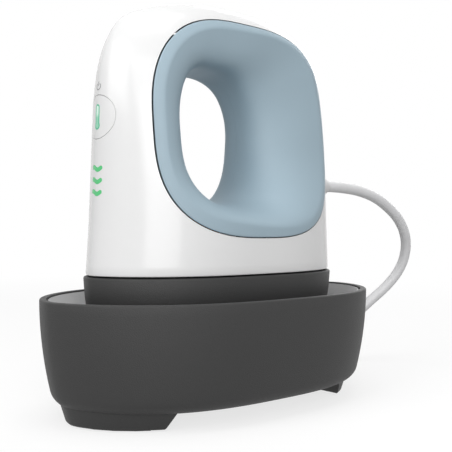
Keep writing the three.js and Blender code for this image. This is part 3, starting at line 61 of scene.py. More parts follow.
camera_data = bpy.data.cameras.new("camera")
camera_data.lens = CAMERA_LENS
camera_data.sensor_width = CAMERA_SENSOR
camera_data.clip_start = CAMERA_NEAR
camera_data.clip_end = CAMERA_FAR
camera = bpy.data.objects.new("camera", camera_data)
bpy.context.scene.collection.objects.link(camera)
camera_back = Vector((math.sin(CAMERA_TURN), -math.cos(CAMERA_TURN), 0))
camera_aside = Vector((math.cos(CAMERA_TURN), math.sin(CAMERA_TURN), 0))
camera.location = camera_back * CAMERA_DISTANCE + Vector((0, 0, CAMERA_HEIGHT))
camera_aim = camera_aside * CAMERA_AIM_ASIDE + Vector((0, 0, CAMERA_HEIGHT))
camera.rotation_euler = (camera.location - camera_aim).to_track_quat("Z", "Y").to_euler()
bpy.context.scene.camera = camera


# Cord. One soft white lead, 4.2 mm round and 1.74 m long, leaves through the strain relief, arches
# down behind the base and is wound in four layers of a coil beside it. Its surface is smooth PVC
# with the slight waviness of an extruded jacket.
FULL_TURN = 2 * math.pi
CORD_DIAMETER = 4.2 * MM
CORD_SIDES = 5
CORD_SMOOTHING = 50
LEAD_POINTS = [
    (0, 53.8, 72.6), (0, 58, 72.6), (0, 64.1, 72.4), (0, 72.9, 71.6), (0, 82, 69.6),
    (-0.5, 90.8, 66.3), (-1, 99.3, 61.3), (-2, 105.3, 55.6), (-4, 109.5, 49.2), (-6.5, 110.7, 42.4),
    (-9, 109.3, 36.8), (-12, 105.7, 31.3), (-15, 100.8, 26.4), (-19, 94.2, 20), (-24, 86.4, 13.8),
    (-29.4, 77.4, 8.6), (-34.4, 67, 5.2), (-38.2, 56, 3.7),
]
TAIL_POINTS = [(-98.7, 52, 15.7), (-96.4, 60, 11.9), (-92.4, 67, 8)]
COIL_CENTRE = Vector((-69.9, 36, 0)) * MM
COIL_LIFT = 1.25 * MM
COIL_LAYERS = 4
COIL_TURNS_PER_LAYER = 2.625
COIL_PITCH = 4.8 * MM
COIL_OUTER = 29.5 * MM
COIL_STEPS_PER_TURN = 40
COIL_CLIMB = 0.25
PLUG_PLACE = Vector((-78.2, 81.8, 6)) * MM
PLUG_TURN = math.radians(135)
PLUG_BOOT_LENGTH = 11 * MM
LINE_STEPS = 6
PATCH_DETAIL = 3
GRAIN_DETAIL = 2
GRAIN_ROUGHNESS = 0.6
NOISE_LOW = 0.3
NOISE_HIGH = 0.7


def gentle(t):
    """Rises from 0 to 1 as t does, gently at both ends."""
    return t * t * (3 - 2 * t)


def coil_point(turns):
    """A point on the coil's middle line. It runs clockwise, in and out by turns, layer on layer."""
    layer = min(int(turns / COIL_TURNS_PER_LAYER), COIL_LAYERS - 1)
    within = turns - layer * COIL_TURNS_PER_LAYER
    to_end = COIL_TURNS_PER_LAYER - within
    radius = COIL_OUTER - COIL_PITCH * (within if layer % 2 == 0 else to_end)
    level = layer
    if layer > 0 and within < COIL_CLIMB:
        level = layer - 1 + gentle(0.5 + within / COIL_CLIMB / 2)
    if layer < COIL_LAYERS - 1 and to_end < COIL_CLIMB:
        level = layer + gentle(0.5 - to_end / COIL_CLIMB / 2)
    angle = -FULL_TURN * turns
    height = COIL_LIFT + CORD_DIAMETER / 2 + level * COIL_PITCH
    return COIL_CENTRE + Vector((radius * math.cos(angle), radius * math.sin(angle), height))


def coil_heading(turns):
    """Which way the cord runs at a point of the coil."""
    angle = -FULL_TURN * turns
    return Vector((math.sin(angle), -math.cos(angle), 0))


def smooth_line(points, steps):
    """Points along the curve that runs through the given ones without overshooting them."""
    ends = [2 * points[0] - points[1], *points, 2 * points[-1] - points[-2]]
    line = []
    for k in range(1, len(ends) - 2):
        before, start, end, after = ends[k - 1:k + 3]
        first = (start - before).length ** 0.5
        middle = (end - start).length ** 0.5
        last = (after - end).length ** 0.5
        leave = ((start - before) / first - (end - before) / (first + middle)) * middle + (end - start)
        arrive = ((after - end) / last - (after - start) / (middle + last)) * middle + (end - start)
        for step in range(steps):
            t = step / steps
            bend = 2 * (start - end) + leave + arrive
            line.append(start + t * (leave + t * (end - start - leave - bend + t * bend)))
    return [*line, points[-1]]


def plug_spot(x, y, z):
    """A point of the plug's own frame, whose boot points along its +Y, put where the plug lies."""
    turned = Matrix.Rotation(PLUG_TURN, 3, "Z") @ Vector((x, y, z))
    return turned + PLUG_PLACE


def cord_route():
    """The cord's middle line: out of the relief, down, round the coil and into the plug."""
    coil_turns = COIL_LAYERS * COIL_TURNS_PER_LAYER
    steps = round(coil_turns * COIL_STEPS_PER_TURN)
    coil = [coil_point(coil_turns * k / steps) for k in range(steps + 1)]
    start = coil[0] - coil_heading(0) * CORD_DIAMETER
    end = coil[-1] + coil_heading(coil_turns) * CORD_DIAMETER
    lead = [Vector(point) * MM for point in LEAD_POINTS]
    tail = [Vector(point) * MM for point in TAIL_POINTS]
    boot = [plug_spot(0, PLUG_BOOT_LENGTH + CORD_DIAMETER, 0), plug_spot(0, PLUG_BOOT_LENGTH, 0)]
    before = smooth_line([*lead, start], LINE_STEPS)
    after = smooth_line([end, *tail, *boot], LINE_STEPS)
    return [*before, *coil, *after]


def pick(piece):
    """Selects the piece alone and makes it the active one."""
    bpy.ops.object.select_all(action="DESELECT")
    piece.select_set(True)
    bpy.context.view_layer.objects.active = piece


def smooth_faces(piece, angle=35):
    """Smooth shading, but for the edges that are sharper than an angle in degrees."""
    pick(piece)
    bpy.ops.object.shade_smooth_by_angle(angle=math.radians(angle))


def round_tube(name, line, radius, sides):
    """A round tube along a line of points, closed at both ends, as a mesh."""
    curve = bpy.data.curves.new(name, "CURVE")
    curve.dimensions = "3D"
    curve.bevel_depth = radius
    curve.bevel_resolution = sides
    curve.use_fill_caps = True
    spline = curve.splines.new("POLY")
    spline.points.add(len(line) - 1)
    for point, place in zip(spline.points, line):
        point.co = (*place, 1)
    tube = bpy.data.objects.new(name, curve)
    bpy.context.scene.collection.objects.link(tube)
    pick(tube)
    bpy.ops.object.convert(target="MESH")
    tube = bpy.context.view_layer.objects.active
    tube.data.name = name
    smooth_faces(tube, CORD_SMOOTHING)
    return tube


def new_material(name, colour, roughness, metallic=0.0):
    """A material with one shader, whose even values are set on its own sockets."""
    material = bpy.data.materials.new(name)
    material.use_nodes = True
    shader = material.node_tree.nodes["Principled BSDF"]
    shader.inputs["Base Color"].default_value = (*colour, 1)
    shader.inputs["Roughness"].default_value = roughness
    shader.inputs["Metallic"].default_value = metallic
    return material


def math_node(nodes, operation, values=()):
    """A Math node, some of whose inputs are set, each given by its place and value."""
    node = nodes.new("ShaderNodeMath")
    node.operation = operation
    for place, value in values:
        node.inputs[place].default_value = value
    return node


def range_node(nodes, limits, way="LINEAR"):
    """A Map Range node with its least and most of what comes in, then of what goes out."""
    node = nodes.new("ShaderNodeMapRange")
    node.interpolation_type = way
    for name, value in zip(("From Min", "From Max", "To Min", "To Max"), limits):
        node.inputs[name].default_value = value
    return node


def build_moulding():
    """The finish of moulded or drawn stock: slow patches of tone and gloss, and a fine grain."""
    group = bpy.data.node_groups.new("moulded_finish", "ShaderNodeTree")
    for name, kind, value in (
        ("Colour", "NodeSocketColor", (0.5, 0.5, 0.5, 1)),
        ("Tone shift", "NodeSocketFloat", 0.05),
        ("Roughness", "NodeSocketFloat", 0.5),
        ("Gloss shift", "NodeSocketFloat", 0.1),
        ("Patch scale", "NodeSocketFloat", 60.0),
        ("Grain scale", "NodeSocketFloat", 2500.0),
    ):
        socket = group.interface.new_socket(name, in_out="INPUT", socket_type=kind)
        socket.default_value = value
    for name, kind in (
        ("Colour", "NodeSocketColor"), ("Roughness", "NodeSocketFloat"), ("Height", "NodeSocketFloat"),
    ):
        group.interface.new_socket(name, in_out="OUTPUT", socket_type=kind)
    nodes = group.nodes
    link = group.links.new
    given = nodes.new("NodeGroupInput")
    result = nodes.new("NodeGroupOutput")
    place = nodes.new("ShaderNodeTexCoord")
    patches = nodes.new("ShaderNodeTexNoise")
    patches.inputs["Detail"].default_value = PATCH_DETAIL
    grain = nodes.new("ShaderNodeTexNoise")
    grain.inputs["Detail"].default_value = GRAIN_DETAIL
    grain.inputs["Roughness"].default_value = GRAIN_ROUGHNESS
    for noise, scale in ((patches, "Patch scale"), (grain, "Grain scale")):
        link(place.outputs["Object"], noise.inputs["Vector"])
        link(given.outputs[scale], noise.inputs["Scale"])
    mixed = math_node(nodes, "MULTIPLY_ADD", [(1, 0.5)])
    half = math_node(nodes, "MULTIPLY", [(1, 0.5)])
    link(patches.outputs["Fac"], mixed.inputs[0])
    link(grain.outputs["Fac"], half.inputs[0])
    link(half.outputs[0], mixed.inputs[2])
    spread = range_node(nodes, (NOISE_LOW, NOISE_HIGH, -1, 1))
    link(mixed.outputs[0], spread.inputs["Value"])
    tone = math_node(nodes, "MULTIPLY_ADD", [(2, 1)])
    link(spread.outputs[0], tone.inputs[0])
    link(given.outputs["Tone shift"], tone.inputs[1])
    shade = nodes.new("ShaderNodeVectorMath")
    shade.operation = "SCALE"
    link(given.outputs["Colour"], shade.inputs[0])
    link(tone.outputs[0], shade.inputs["Scale"])
    gloss = math_node(nodes, "MULTIPLY_ADD")
    link(spread.outputs[0], gloss.inputs[0])
    link(given.outputs["Gloss shift"], gloss.inputs[1])
    link(given.outputs["Roughness"], gloss.inputs[2])
    link(shade.outputs["Vector"], result.inputs["Colour"])
    link(gloss.outputs[0], result.inputs["Roughness"])
    link(grain.outputs["Fac"], result.inputs["Height"])
    return group


moulded_finish = build_moulding()


def moulded(name, colour, roughness, tone=0.04, gloss=0.05, patch=60, grain=2500, relief=0.02, metallic=0.0):
    """The moulded finish. Its grain is given as a fineness per metre, and its relief in mm."""
    material = new_material(name, colour, roughness, metallic)
    nodes = material.node_tree.nodes
    link = material.node_tree.links.new
    shader = nodes["Principled BSDF"]
    finish = nodes.new("ShaderNodeGroup")
    finish.node_tree = moulded_finish
    for socket, value in (
        ("Colour", (*colour, 1)), ("Tone shift", tone), ("Roughness", roughness),
        ("Gloss shift", gloss), ("Patch scale", patch), ("Grain scale", grain),
    ):
        finish.inputs[socket].default_value = value
    bump = nodes.new("ShaderNodeBump")
    bump.inputs["Distance"].default_value = relief * MM
    link(finish.outputs["Colour"], shader.inputs["Base Color"])
    link(finish.outputs["Roughness"], shader.inputs["Roughness"])
    link(finish.outputs["Height"], bump.inputs["Height"])
    link(bump.outputs["Normal"], shader.inputs["Normal"])
    return material


def paint(piece, material):
    """Gives a new piece its material."""
    piece.data.materials.clear()
    piece.data.materials.append(material)


def finish_node(name, material):
    """Gives a kept node of the frame its material."""
    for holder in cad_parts[name].material_slots:
        holder.material = material


cord_white = moulded(
    "cord_white", (0.82, 0.82, 0.83), 0.42, tone=0.02, gloss=0.06, patch=90, grain=900, relief=0.015)
cord_line = cord_route()
cord = round_tube("mains_cord", cord_line, CORD_DIAMETER / 2, CORD_SIDES)
paint(cord, cord_white)
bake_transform(cord)
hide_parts("cord_lead", "cord_coil", "cord_tail")


# Tie. A flat woven strap of black nylon, 7 mm wide, goes round the bundle of turns and holds them.
TIE_WIDTH = 7 * MM
TIE_THICKNESS = 0.8 * MM
TIE_CLEARANCE = 0.3 * MM
TIE_SLACK = 0.7 * MM
TIE_TURN = math.radians(235)
TIE_CORNER = 2 * MM
TIE_CORNER_STEPS = 8
TIE_EDGE = 0.2 * MM
QUARTER_TURN = math.pi / 2


def start_piece(name):
    """Names the primitive that was just added, and puts its place into its mesh."""
    piece = bpy.context.object
    piece.name = name
    piece.data.name = name
    bpy.ops.object.transform_apply(location=True, rotation=True, scale=True)
    return piece


def clear_selection():
    bpy.ops.object.select_all(action="DESELECT")


def open_mesh():
    """Goes into edit mode with all of the mesh selected."""
    bpy.ops.object.mode_set(mode="EDIT")
    bpy.ops.mesh.select_all(action="SELECT")


def close_mesh():
    """Turns every face outwards and leaves edit mode."""
    bpy.ops.mesh.select_all(action="SELECT")
    bpy.ops.mesh.normals_make_consistent(inside=False)
    bpy.ops.object.mode_set(mode="OBJECT")


def apply_modifier(piece, kind, **settings):
    """Adds one modifier and applies it to the mesh."""
    modifier = piece.modifiers.new(kind.lower(), kind)
    for key, value in settings.items():
        setattr(modifier, key, value)
    pick(piece)
    bpy.ops.object.modifier_apply(modifier=modifier.name)


def make_tie():
    """The strap, bent round the section of the coil and turned to its place on it."""
    inner = COIL_OUTER - COIL_PITCH * COIL_TURNS_PER_LAYER
    top = COIL_LIFT + CORD_DIAMETER + (COIL_LAYERS - 1) * COIL_PITCH
    half = TIE_THICKNESS / 2
    near = inner - CORD_DIAMETER / 2 - TIE_CLEARANCE - half
    far = COIL_OUTER + CORD_DIAMETER / 2 + TIE_SLACK + half
    low = COIL_LIFT - TIE_CLEARANCE - half
    high = top + TIE_CLEARANCE + half
    clear_selection()
    bpy.ops.mesh.primitive_plane_add(
        size=1, location=((near + far) / 2, 0, (low + high) / 2), rotation=(QUARTER_TURN, 0, 0))
    strap = bpy.context.object
    strap.scale = (far - near, high - low, 1)
    start_piece("tie")
    open_mesh()
    bpy.ops.mesh.bevel(offset=TIE_CORNER, segments=TIE_CORNER_STEPS, affect="VERTICES")
    bpy.ops.mesh.select_all(action="SELECT")
    bpy.ops.mesh.delete(type="ONLY_FACE")
    bpy.ops.mesh.select_all(action="SELECT")
    bpy.ops.transform.translate(value=(0, -TIE_WIDTH / 2, 0))
    bpy.ops.mesh.extrude_region_move(TRANSFORM_OT_translate={"value": (0, TIE_WIDTH, 0)})
    close_mesh()
    strap.data.transform(Matrix.Translation(COIL_CENTRE) @ Matrix.Rotation(TIE_TURN, 4, "Z"))
    apply_modifier(strap, "SOLIDIFY", thickness=TIE_THICKNESS, offset=0)
    apply_modifier(strap, "BEVEL", width=TIE_EDGE, segments=2, limit_method="ANGLE")
    smooth_faces(strap)
    return strap


tie_black = moulded(
    "tie_black", (0.012, 0.012, 0.013), 0.85, tone=0.3, gloss=0.05, patch=400, grain=1600, relief=0.08)
tie = make_tie()
paint(tie, tie_black)
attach(tie, "base")
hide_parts("cord_tie")


# Plug. A moulded PVC body with a tapered boot where the cord goes in, and two flat blades of
# bare steel that are moulded into it.
PLUG_HALF_WIDTH = 11 * MM
PLUG_HALF_HEIGHT = 6 * MM
PLUG_CORNER = 0.55
PLUG_STEPS = 48
PLUG_SECTIONS = [
    (11, 0.26, 0.48), (10.6, 0.29, 0.53), (6, 0.33, 0.6), (0, 0.42, 0.72), (-1.5, 0.5, 0.78),
    (-3, 0.62, 0.84), (-6, 0.82, 0.95), (-9, 0.94, 1), (-14, 0.995, 1), (-22.4, 1, 1),
    (-23.3, 0.985, 0.98), (-24, 0.94, 0.9),
]


def start_outline(name, points):
    """A closed line through the given points, begun as a circle and left selected in edit mode."""
    clear_selection()
    bpy.ops.mesh.primitive_circle_add(vertices=len(points), radius=1)
    piece = start_piece(name)
    for vertex, point in zip(piece.data.vertices, points):
        vertex.co = point
    open_mesh()
    return piece


def make_plug():
    """The body, drawn from ring to ring from the boot's mouth to the face with the blades."""
    y, wide, high = PLUG_SECTIONS[0]
    outline = []
    for k in range(PLUG_STEPS):
        c = math.cos(FULL_TURN * k / PLUG_STEPS)
        s = math.sin(FULL_TURN * k / PLUG_STEPS)
        x = math.copysign(abs(c) ** PLUG_CORNER, c) * PLUG_HALF_WIDTH * wide
        z = math.copysign(abs(s) ** PLUG_CORNER, s) * PLUG_HALF_HEIGHT * high
        outline.append((x, y * MM, z))
    plug = start_outline("plug", outline)
    for before, after in zip(PLUG_SECTIONS, PLUG_SECTIONS[1:]):
        step = (0, (after[0] - before[0]) * MM, 0)
        bpy.ops.mesh.extrude_region_move(TRANSFORM_OT_translate={"value": step})
        sizes = (after[1] / before[1], 1, after[2] / before[2])
        bpy.ops.transform.resize(value=sizes, center_override=(0, 0, 0))
    bpy.ops.mesh.select_all(action="SELECT")
    bpy.ops.mesh.fill_holes(sides=0)
    close_mesh()
    plug.data.transform(Matrix.Translation(PLUG_PLACE) @ Matrix.Rotation(PLUG_TURN, 4, "Z"))
    smooth_faces(plug)
    return plug


plug = make_plug()
paint(plug, cord_white)
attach(plug, "base")
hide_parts("plug_body")
blade_steel = moulded(
    "blade_steel", (0.62, 0.61, 0.6), 0.28, tone=0.05, gloss=0.12, patch=250, grain=1800, relief=0.006,
    metallic=1)
for side in ("left", "right"):
    finish_node(f"plug_blade_{side}", blade_steel)


# Base tub. One deep moulding in dark grey ABS with a matt spark grain. Its walls curve in to a
# rounded bottom edge, and two crescent feet stand under its ends on rubber pads.
FOOT_HEIGHT = 5.3 * MM
FOOT_PAD_HEIGHT = 0.9 * MM
FOOT_BOTTOM = 0.6 * MM
BASE_HEIGHT = 36.3 * MM
TUB_FLOOR = 2.2 * MM
TUB_WALL = 2.1 * MM
TUB_CURVE = 4.2 * MM
TUB_CORNER = 4 * MM
TUB_CORNER_STEPS = 8
TUB_WALL_STEPS = 10
TUB_INSIDE_SHARES = (0.97, 0.7, 0.4, 0.2)
BASE_HALF_LENGTH = 61.5 * MM
BASE_HALF_WIDTH = 37.5 * MM
FOOT_HALF_LENGTH = 54.2 * MM
FOOT_HALF_WIDTH = 27.7 * MM
FOOT_INNER_Y = 36.5 * MM
FOOT_FLARE = 1.6 * MM
FOOT_LEAN = 3 * MM
FOOT_ROOT = 1 * MM
FOOT_EDGE = 0.4 * MM
FOOT_PAD_INSET = 2.2 * MM
RIM_ROUND = 0.5 * MM
GAP = 0.3 * MM
BOAT_LENGTH_POWER = 2.8
BOAT_WIDTH_POWER = 1.6
OUTLINE_POINTS = 180
FINE_SAMPLES = 7200


def boat_outline():
    """The boat-like plan outline with half sizes of one, its points evenly spaced along the base."""
    fine = []
    for k in range(FINE_SAMPLES + 1):
        angle = FULL_TURN * k / FINE_SAMPLES
        c = math.cos(angle)
        s = math.sin(angle)
        x = math.copysign(abs(c) ** (2 / BOAT_WIDTH_POWER), c)
        y = math.copysign(abs(s) ** (2 / BOAT_LENGTH_POWER), s)
        fine.append((x, y))
    along = [0.0]
    for (x0, y0), (x1, y1) in zip(fine, fine[1:]):
        along.append(along[-1] + math.hypot((x1 - x0) * BASE_HALF_WIDTH, (y1 - y0) * BASE_HALF_LENGTH))
    outline = []
    at = 0
    for k in range(OUTLINE_POINTS):
        target = along[-1] * k / OUTLINE_POINTS
        while along[at + 1] < target:
            at += 1
        share = (target - along[at]) / (along[at + 1] - along[at])
        (x0, y0), (x1, y1) = fine[at:at + 2]
        outline.append((x0 + share * (x1 - x0), y0 + share * (y1 - y0)))
    return outline


OUTLINE = boat_outline()


def select_where(piece, test):
    """Selects just the vertices of the piece in edit mode that pass the test."""
    bpy.ops.mesh.select_all(action="DESELECT")
    mesh = bmesh.from_edit_mesh(piece.data)
    for vertex in mesh.verts:
        vertex.select = test(vertex)
    mesh.select_flush_mode()
    bmesh.update_edit_mesh(piece.data)


def scale_ring(piece, before, after):
    """Moves the last ring to its height and stretches its front half and its rear half."""
    bpy.ops.transform.translate(value=(0, 0, after[0] - before[0]))
    first = len(bmesh.from_edit_mesh(piece.data).verts) - OUTLINE_POINTS
    half = OUTLINE_POINTS // 2
    for column, test in (
        (3, lambda vertex: first <= vertex.index <= first + half),
        (2, lambda vertex: vertex.index > first + half),
    ):
        select_where(piece, test)
        sizes = (after[1] / before[1], after[column] / before[column], 1)
        bpy.ops.transform.resize(value=sizes, center_override=(0, 0, 0))
    select_where(piece, lambda vertex: vertex.index >= first)


def boat_stack(name, rings):
    """A closed skin over boat-like rings, each (height, half width, front, rear)."""
    z, width, front, rear = rings[0]
    points = [(x * width, y * (front if y < 0 else rear), z) for x, y in OUTLINE]
    piece = start_outline(name, points)
    for before, after in zip(rings, rings[1:]):
        bpy.ops.mesh.extrude_region_move()
        scale_ring(piece, before, after)
    bpy.ops.mesh.select_all(action="SELECT")
    bpy.ops.mesh.fill_holes(sides=0)
    close_mesh()
    return piece


def even_ring(z, half_length, half_width, inset):
    """A ring whose front and rear halves are alike, drawn in by an inset."""
    return z, half_width - inset, half_length - inset, half_length - inset


def tub_inset(z):
    """How far the tub's wall has curved in at a height."""
    down = (BASE_HEIGHT - z) / (BASE_HEIGHT - FOOT_HEIGHT)
    return TUB_CURVE * down * down


def tub_rings():
    """The tub's rings, up the outside, over the rim and down the inside."""
    rings = []
    for k in range(TUB_CORNER_STEPS):
        turn = QUARTER_TURN * k / TUB_CORNER_STEPS
        z = FOOT_HEIGHT + TUB_CORNER * (1 - math.cos(turn))
        rings.append((z, TUB_CORNER * (1 - math.sin(turn)) + tub_inset(z)))
    wall_low = FOOT_HEIGHT + TUB_CORNER
    for k in range(TUB_WALL_STEPS + 1):
        z = wall_low + (BASE_HEIGHT - RIM_ROUND - wall_low) * k / TUB_WALL_STEPS
        rings.append((z, tub_inset(z)))
    for turn in (math.radians(30), math.radians(60), QUARTER_TURN):
        rings.append((BASE_HEIGHT - RIM_ROUND * (1 - math.sin(turn)), RIM_ROUND * (1 - math.cos(turn))))
    inner = RIM_ROUND / 2
    rings.append((BASE_HEIGHT, TUB_WALL - inner))
    rings.append((BASE_HEIGHT - inner / 3, TUB_WALL - inner / 3))
    floor = FOOT_HEIGHT + TUB_FLOOR
    for share in TUB_INSIDE_SHARES:
        z = floor + share * (BASE_HEIGHT - floor)
        rings.append((z, tub_inset(z) + TUB_WALL))
    rings.append((floor, tub_inset(floor) + TUB_WALL + TUB_CORNER))
    return [even_ring(z, BASE_HALF_LENGTH, BASE_HALF_WIDTH, inset) for z, inset in rings]


def boolean(piece, tool, operation):
    """Joins the tool to the piece or cuts it away, and removes the tool."""
    apply_modifier(piece, "BOOLEAN", object=tool, operation=operation, solver="EXACT")
    bpy.data.objects.remove(tool)


def make_wedge(name, side, low, high, inner, lean):
    """A block over one end of the base, whose inner face leans towards the middle going up."""
    middle = Vector((0, side * (inner + BASE_HALF_LENGTH) / 2, (low + high) / 2))
    sizes = (2 * BASE_HALF_WIDTH, BASE_HALF_LENGTH - inner, high - low)
    clear_selection()
    bpy.ops.mesh.primitive_cube_add(size=1, location=middle, scale=sizes)
    wedge = start_piece(name)
    bpy.ops.object.mode_set(mode="EDIT")
    select_where(wedge, lambda vertex: vertex.co.z > middle.z and abs(vertex.co.y) < abs(middle.y))
    bpy.ops.transform.translate(value=(0, -side * lean, 0))
    bpy.ops.object.mode_set(mode="OBJECT")
    return wedge


def make_crescent(name, side, low, high, inset, lean):
    """A crescent under one end of the base, with a small round at its lower edge."""
    flare = FOOT_FLARE * (high - low) / FOOT_HEIGHT
    foot = boat_stack(name, [
        even_ring(low, FOOT_HALF_LENGTH, FOOT_HALF_WIDTH, inset + FOOT_EDGE),
        even_ring(low + FOOT_EDGE, FOOT_HALF_LENGTH, FOOT_HALF_WIDTH, inset),
        even_ring(high, FOOT_HALF_LENGTH, FOOT_HALF_WIDTH, inset - flare),
    ])
    wedge = make_wedge("wedge", side, low - FOOT_EDGE, high + FOOT_EDGE, FOOT_INNER_Y + inset, lean)
    boolean(foot, wedge, "INTERSECT")
    return foot


def make_tub():
    """The tub with a foot under each end, and a recess in each foot for its pad."""
    tub = boat_stack("tub", tub_rings())
    for end, side in (("front", -1), ("rear", 1)):
        foot = make_crescent(f"foot_{end}", side, FOOT_BOTTOM, FOOT_HEIGHT + FOOT_ROOT, 0, FOOT_LEAN)
        boolean(tub, foot, "UNION")
    for end, side in (("front", -1), ("rear", 1)):
        top = FOOT_PAD_HEIGHT + GAP
        recess = make_crescent(f"recess_{end}", side, -GAP, top, FOOT_PAD_INSET - GAP, 0)
        boolean(tub, recess, "DIFFERENCE")
    smooth_faces(tub)
    return tub


tub_grey = moulded(
    "tub_grey", (0.022, 0.022, 0.022), 0.62, tone=0.35, gloss=0.1, patch=2600, grain=3200, relief=0.1)
tub = make_tub()
paint(tub, tub_grey)
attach(tub, "base")
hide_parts("base_tub")

pad_rubber = moulded(
    "pad_rubber", (0.018, 0.018, 0.018), 0.85, tone=0.2, gloss=0.05, patch=500, grain=2200, relief=0.04)
screw_steel = moulded(
    "screw_steel", (0.5, 0.5, 0.5), 0.35, tone=0.06, gloss=0.1, patch=400, grain=2400, relief=0.01,
    metallic=1)
for place in ("foot_pad_front", "foot_pad_rear"):
    finish_node(place, pad_rubber)
for place in ("front", "rear", "left", "right"):
    finish_node(f"rest_pad_{place}", pad_rubber)
for number in range(1, 5):
    finish_node(f"tray_screw_{number}", screw_steel)


# Inner tray. A lighter grey moulding that lines the tub, slopes in from the rim and drops to the
# well that the hot plate rests in. It is held by four screws from below.
TRAY_WALL = 1.8 * MM
TRAY_RIM_DROP = 0.5 * MM
TRAY_SHOULDER_Z = 32.2 * MM
TRAY_LIP_Z = 29.8 * MM
TRAY_FLOOR_TOP = 20 * MM
TRAY_RIM_ROUND = 0.25 * MM
TRAY_SHOULDER_ROUND = 0.6 * MM
TRAY_FLOOR_ROUND_SHARE = 1.4
WELL_HALF_LENGTH = 51.4 * MM
WELL_HALF_WIDTH = 29.6 * MM


def base_ring(z, inset):
    return even_ring(z, BASE_HALF_LENGTH, BASE_HALF_WIDTH, inset)


def well_ring(z, inset):
    return even_ring(z, WELL_HALF_LENGTH, WELL_HALF_WIDTH, inset)


tray_edge = TUB_WALL + GAP
tray_rim = BASE_HEIGHT - TRAY_RIM_DROP
shoulder_edge = tray_edge + tub_inset(TRAY_SHOULDER_Z)
tray = boat_stack("tray", [
    well_ring(TRAY_FLOOR_TOP - TRAY_WALL, TRAY_WALL),
    well_ring(TRAY_FLOOR_TOP, 0),
    well_ring(TRAY_LIP_Z - TRAY_WALL, -TRAY_WALL),
    base_ring(TRAY_SHOULDER_Z - TRAY_WALL, shoulder_edge + TRAY_WALL),
    base_ring(TRAY_SHOULDER_Z, shoulder_edge),
    base_ring(tray_rim - TRAY_RIM_ROUND, tray_edge),
    base_ring(tray_rim, tray_edge + TRAY_RIM_ROUND),
    base_ring(tray_rim, tray_edge + TRAY_WALL / 2 - TRAY_RIM_ROUND),
    base_ring(tray_rim - TRAY_RIM_ROUND, tray_edge + TRAY_WALL / 2),
    well_ring(TRAY_SHOULDER_Z, -TRAY_WALL - TRAY_SHOULDER_ROUND),
    well_ring(TRAY_SHOULDER_Z - TRAY_SHOULDER_ROUND, -TRAY_WALL),
    well_ring(TRAY_LIP_Z, -GAP),
    well_ring(TRAY_FLOOR_TOP + TRAY_WALL, TRAY_WALL),
    well_ring(TRAY_FLOOR_TOP + TRAY_WALL / 3, TRAY_FLOOR_ROUND_SHARE * TRAY_WALL),
    well_ring(TRAY_FLOOR_TOP, 2 * TRAY_WALL),
])
smooth_faces(tray)
tray_grey = moulded(
    "tray_grey", (0.31, 0.31, 0.313), 0.55, tone=0.07, gloss=0.05, patch=700, grain=2400, relief=0.05)
paint(tray, tray_grey)
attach(tray, "base")
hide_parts("base_tray")


# Skirt. The black collar that hides the heater: a tapered moulding in a filled nylon that stands
# the heat, with a fine matt grain. The hood is screwed down on its deck.
SKIRT_BOTTOM = 30.3 * MM
SKIRT_TOP = 42.6 * MM
SKIRT_HALF_LENGTH = 48 * MM
SKIRT_HALF_WIDTH = 26 * MM
SKIRT_WALL = 1.8 * MM
SKIRT_TAPER = 1.3 * MM
SKIRT_DECK = 1.5 * MM
SKIRT_EDGE = 0.6 * MM


def skirt_ring(z, inset):
    return even_ring(z, SKIRT_HALF_LENGTH, SKIRT_HALF_WIDTH, inset)


skirt_corner = SKIRT_EDGE * (1 - math.cos(math.radians(45)))
collar = boat_stack("collar", [
    skirt_ring(SKIRT_TOP - SKIRT_DECK, SKIRT_WALL),
    skirt_ring(SKIRT_BOTTOM, SKIRT_TAPER + SKIRT_WALL),
    skirt_ring(SKIRT_BOTTOM, SKIRT_TAPER + SKIRT_EDGE),
    skirt_ring(SKIRT_BOTTOM + skirt_corner, SKIRT_TAPER + skirt_corner),
    skirt_ring(SKIRT_BOTTOM + SKIRT_EDGE, SKIRT_TAPER),
    skirt_ring((SKIRT_BOTTOM + SKIRT_TOP) / 2, SKIRT_TAPER / 3),
    skirt_ring(SKIRT_TOP - SKIRT_EDGE, 0),
    skirt_ring(SKIRT_TOP - skirt_corner, skirt_corner),
    skirt_ring(SKIRT_TOP, SKIRT_EDGE),
])
smooth_faces(collar)
skirt_black = moulded(
    "skirt_black", (0.015, 0.015, 0.015), 0.6, tone=0.35, gloss=0.1, patch=2600, grain=3200, relief=0.08)
paint(collar, skirt_black)
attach(collar, "press")
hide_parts("skirt")


# Hot plate. Cast aluminium with a hard grey ceramic coat on its face, pulled up to the skirt's
# deck by four screws in ceramic sleeves.
PLATE_BOTTOM = 24 * MM
PLATE_TOP = 30 * MM
PLATE_HALF_LENGTH = 41.5 * MM
PLATE_HALF_WIDTH = 24.5 * MM
PLATE_EDGE = 1.2 * MM
PLATE_EDGE_STEPS = 5

plate_rings = []
for k in range(PLATE_EDGE_STEPS, -1, -1):
    turn = QUARTER_TURN * k / PLATE_EDGE_STEPS
    z = PLATE_BOTTOM + PLATE_EDGE * (1 - math.sin(turn))
    plate_rings.append(even_ring(z, PLATE_HALF_LENGTH, PLATE_HALF_WIDTH, PLATE_EDGE * (1 - math.cos(turn))))
plate_rings.append(even_ring(PLATE_TOP, PLATE_HALF_LENGTH, PLATE_HALF_WIDTH, 0))
plate = boat_stack("hot_plate", plate_rings)
smooth_faces(plate)
plate_aluminium = moulded(
    "plate_aluminium", (0.3, 0.3, 0.3), 0.38, tone=0.1, gloss=0.08, patch=500, grain=2000, relief=0.02,
    metallic=0.5)
paint(plate, plate_aluminium)
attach(plate, "press")
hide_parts("heat_plate")


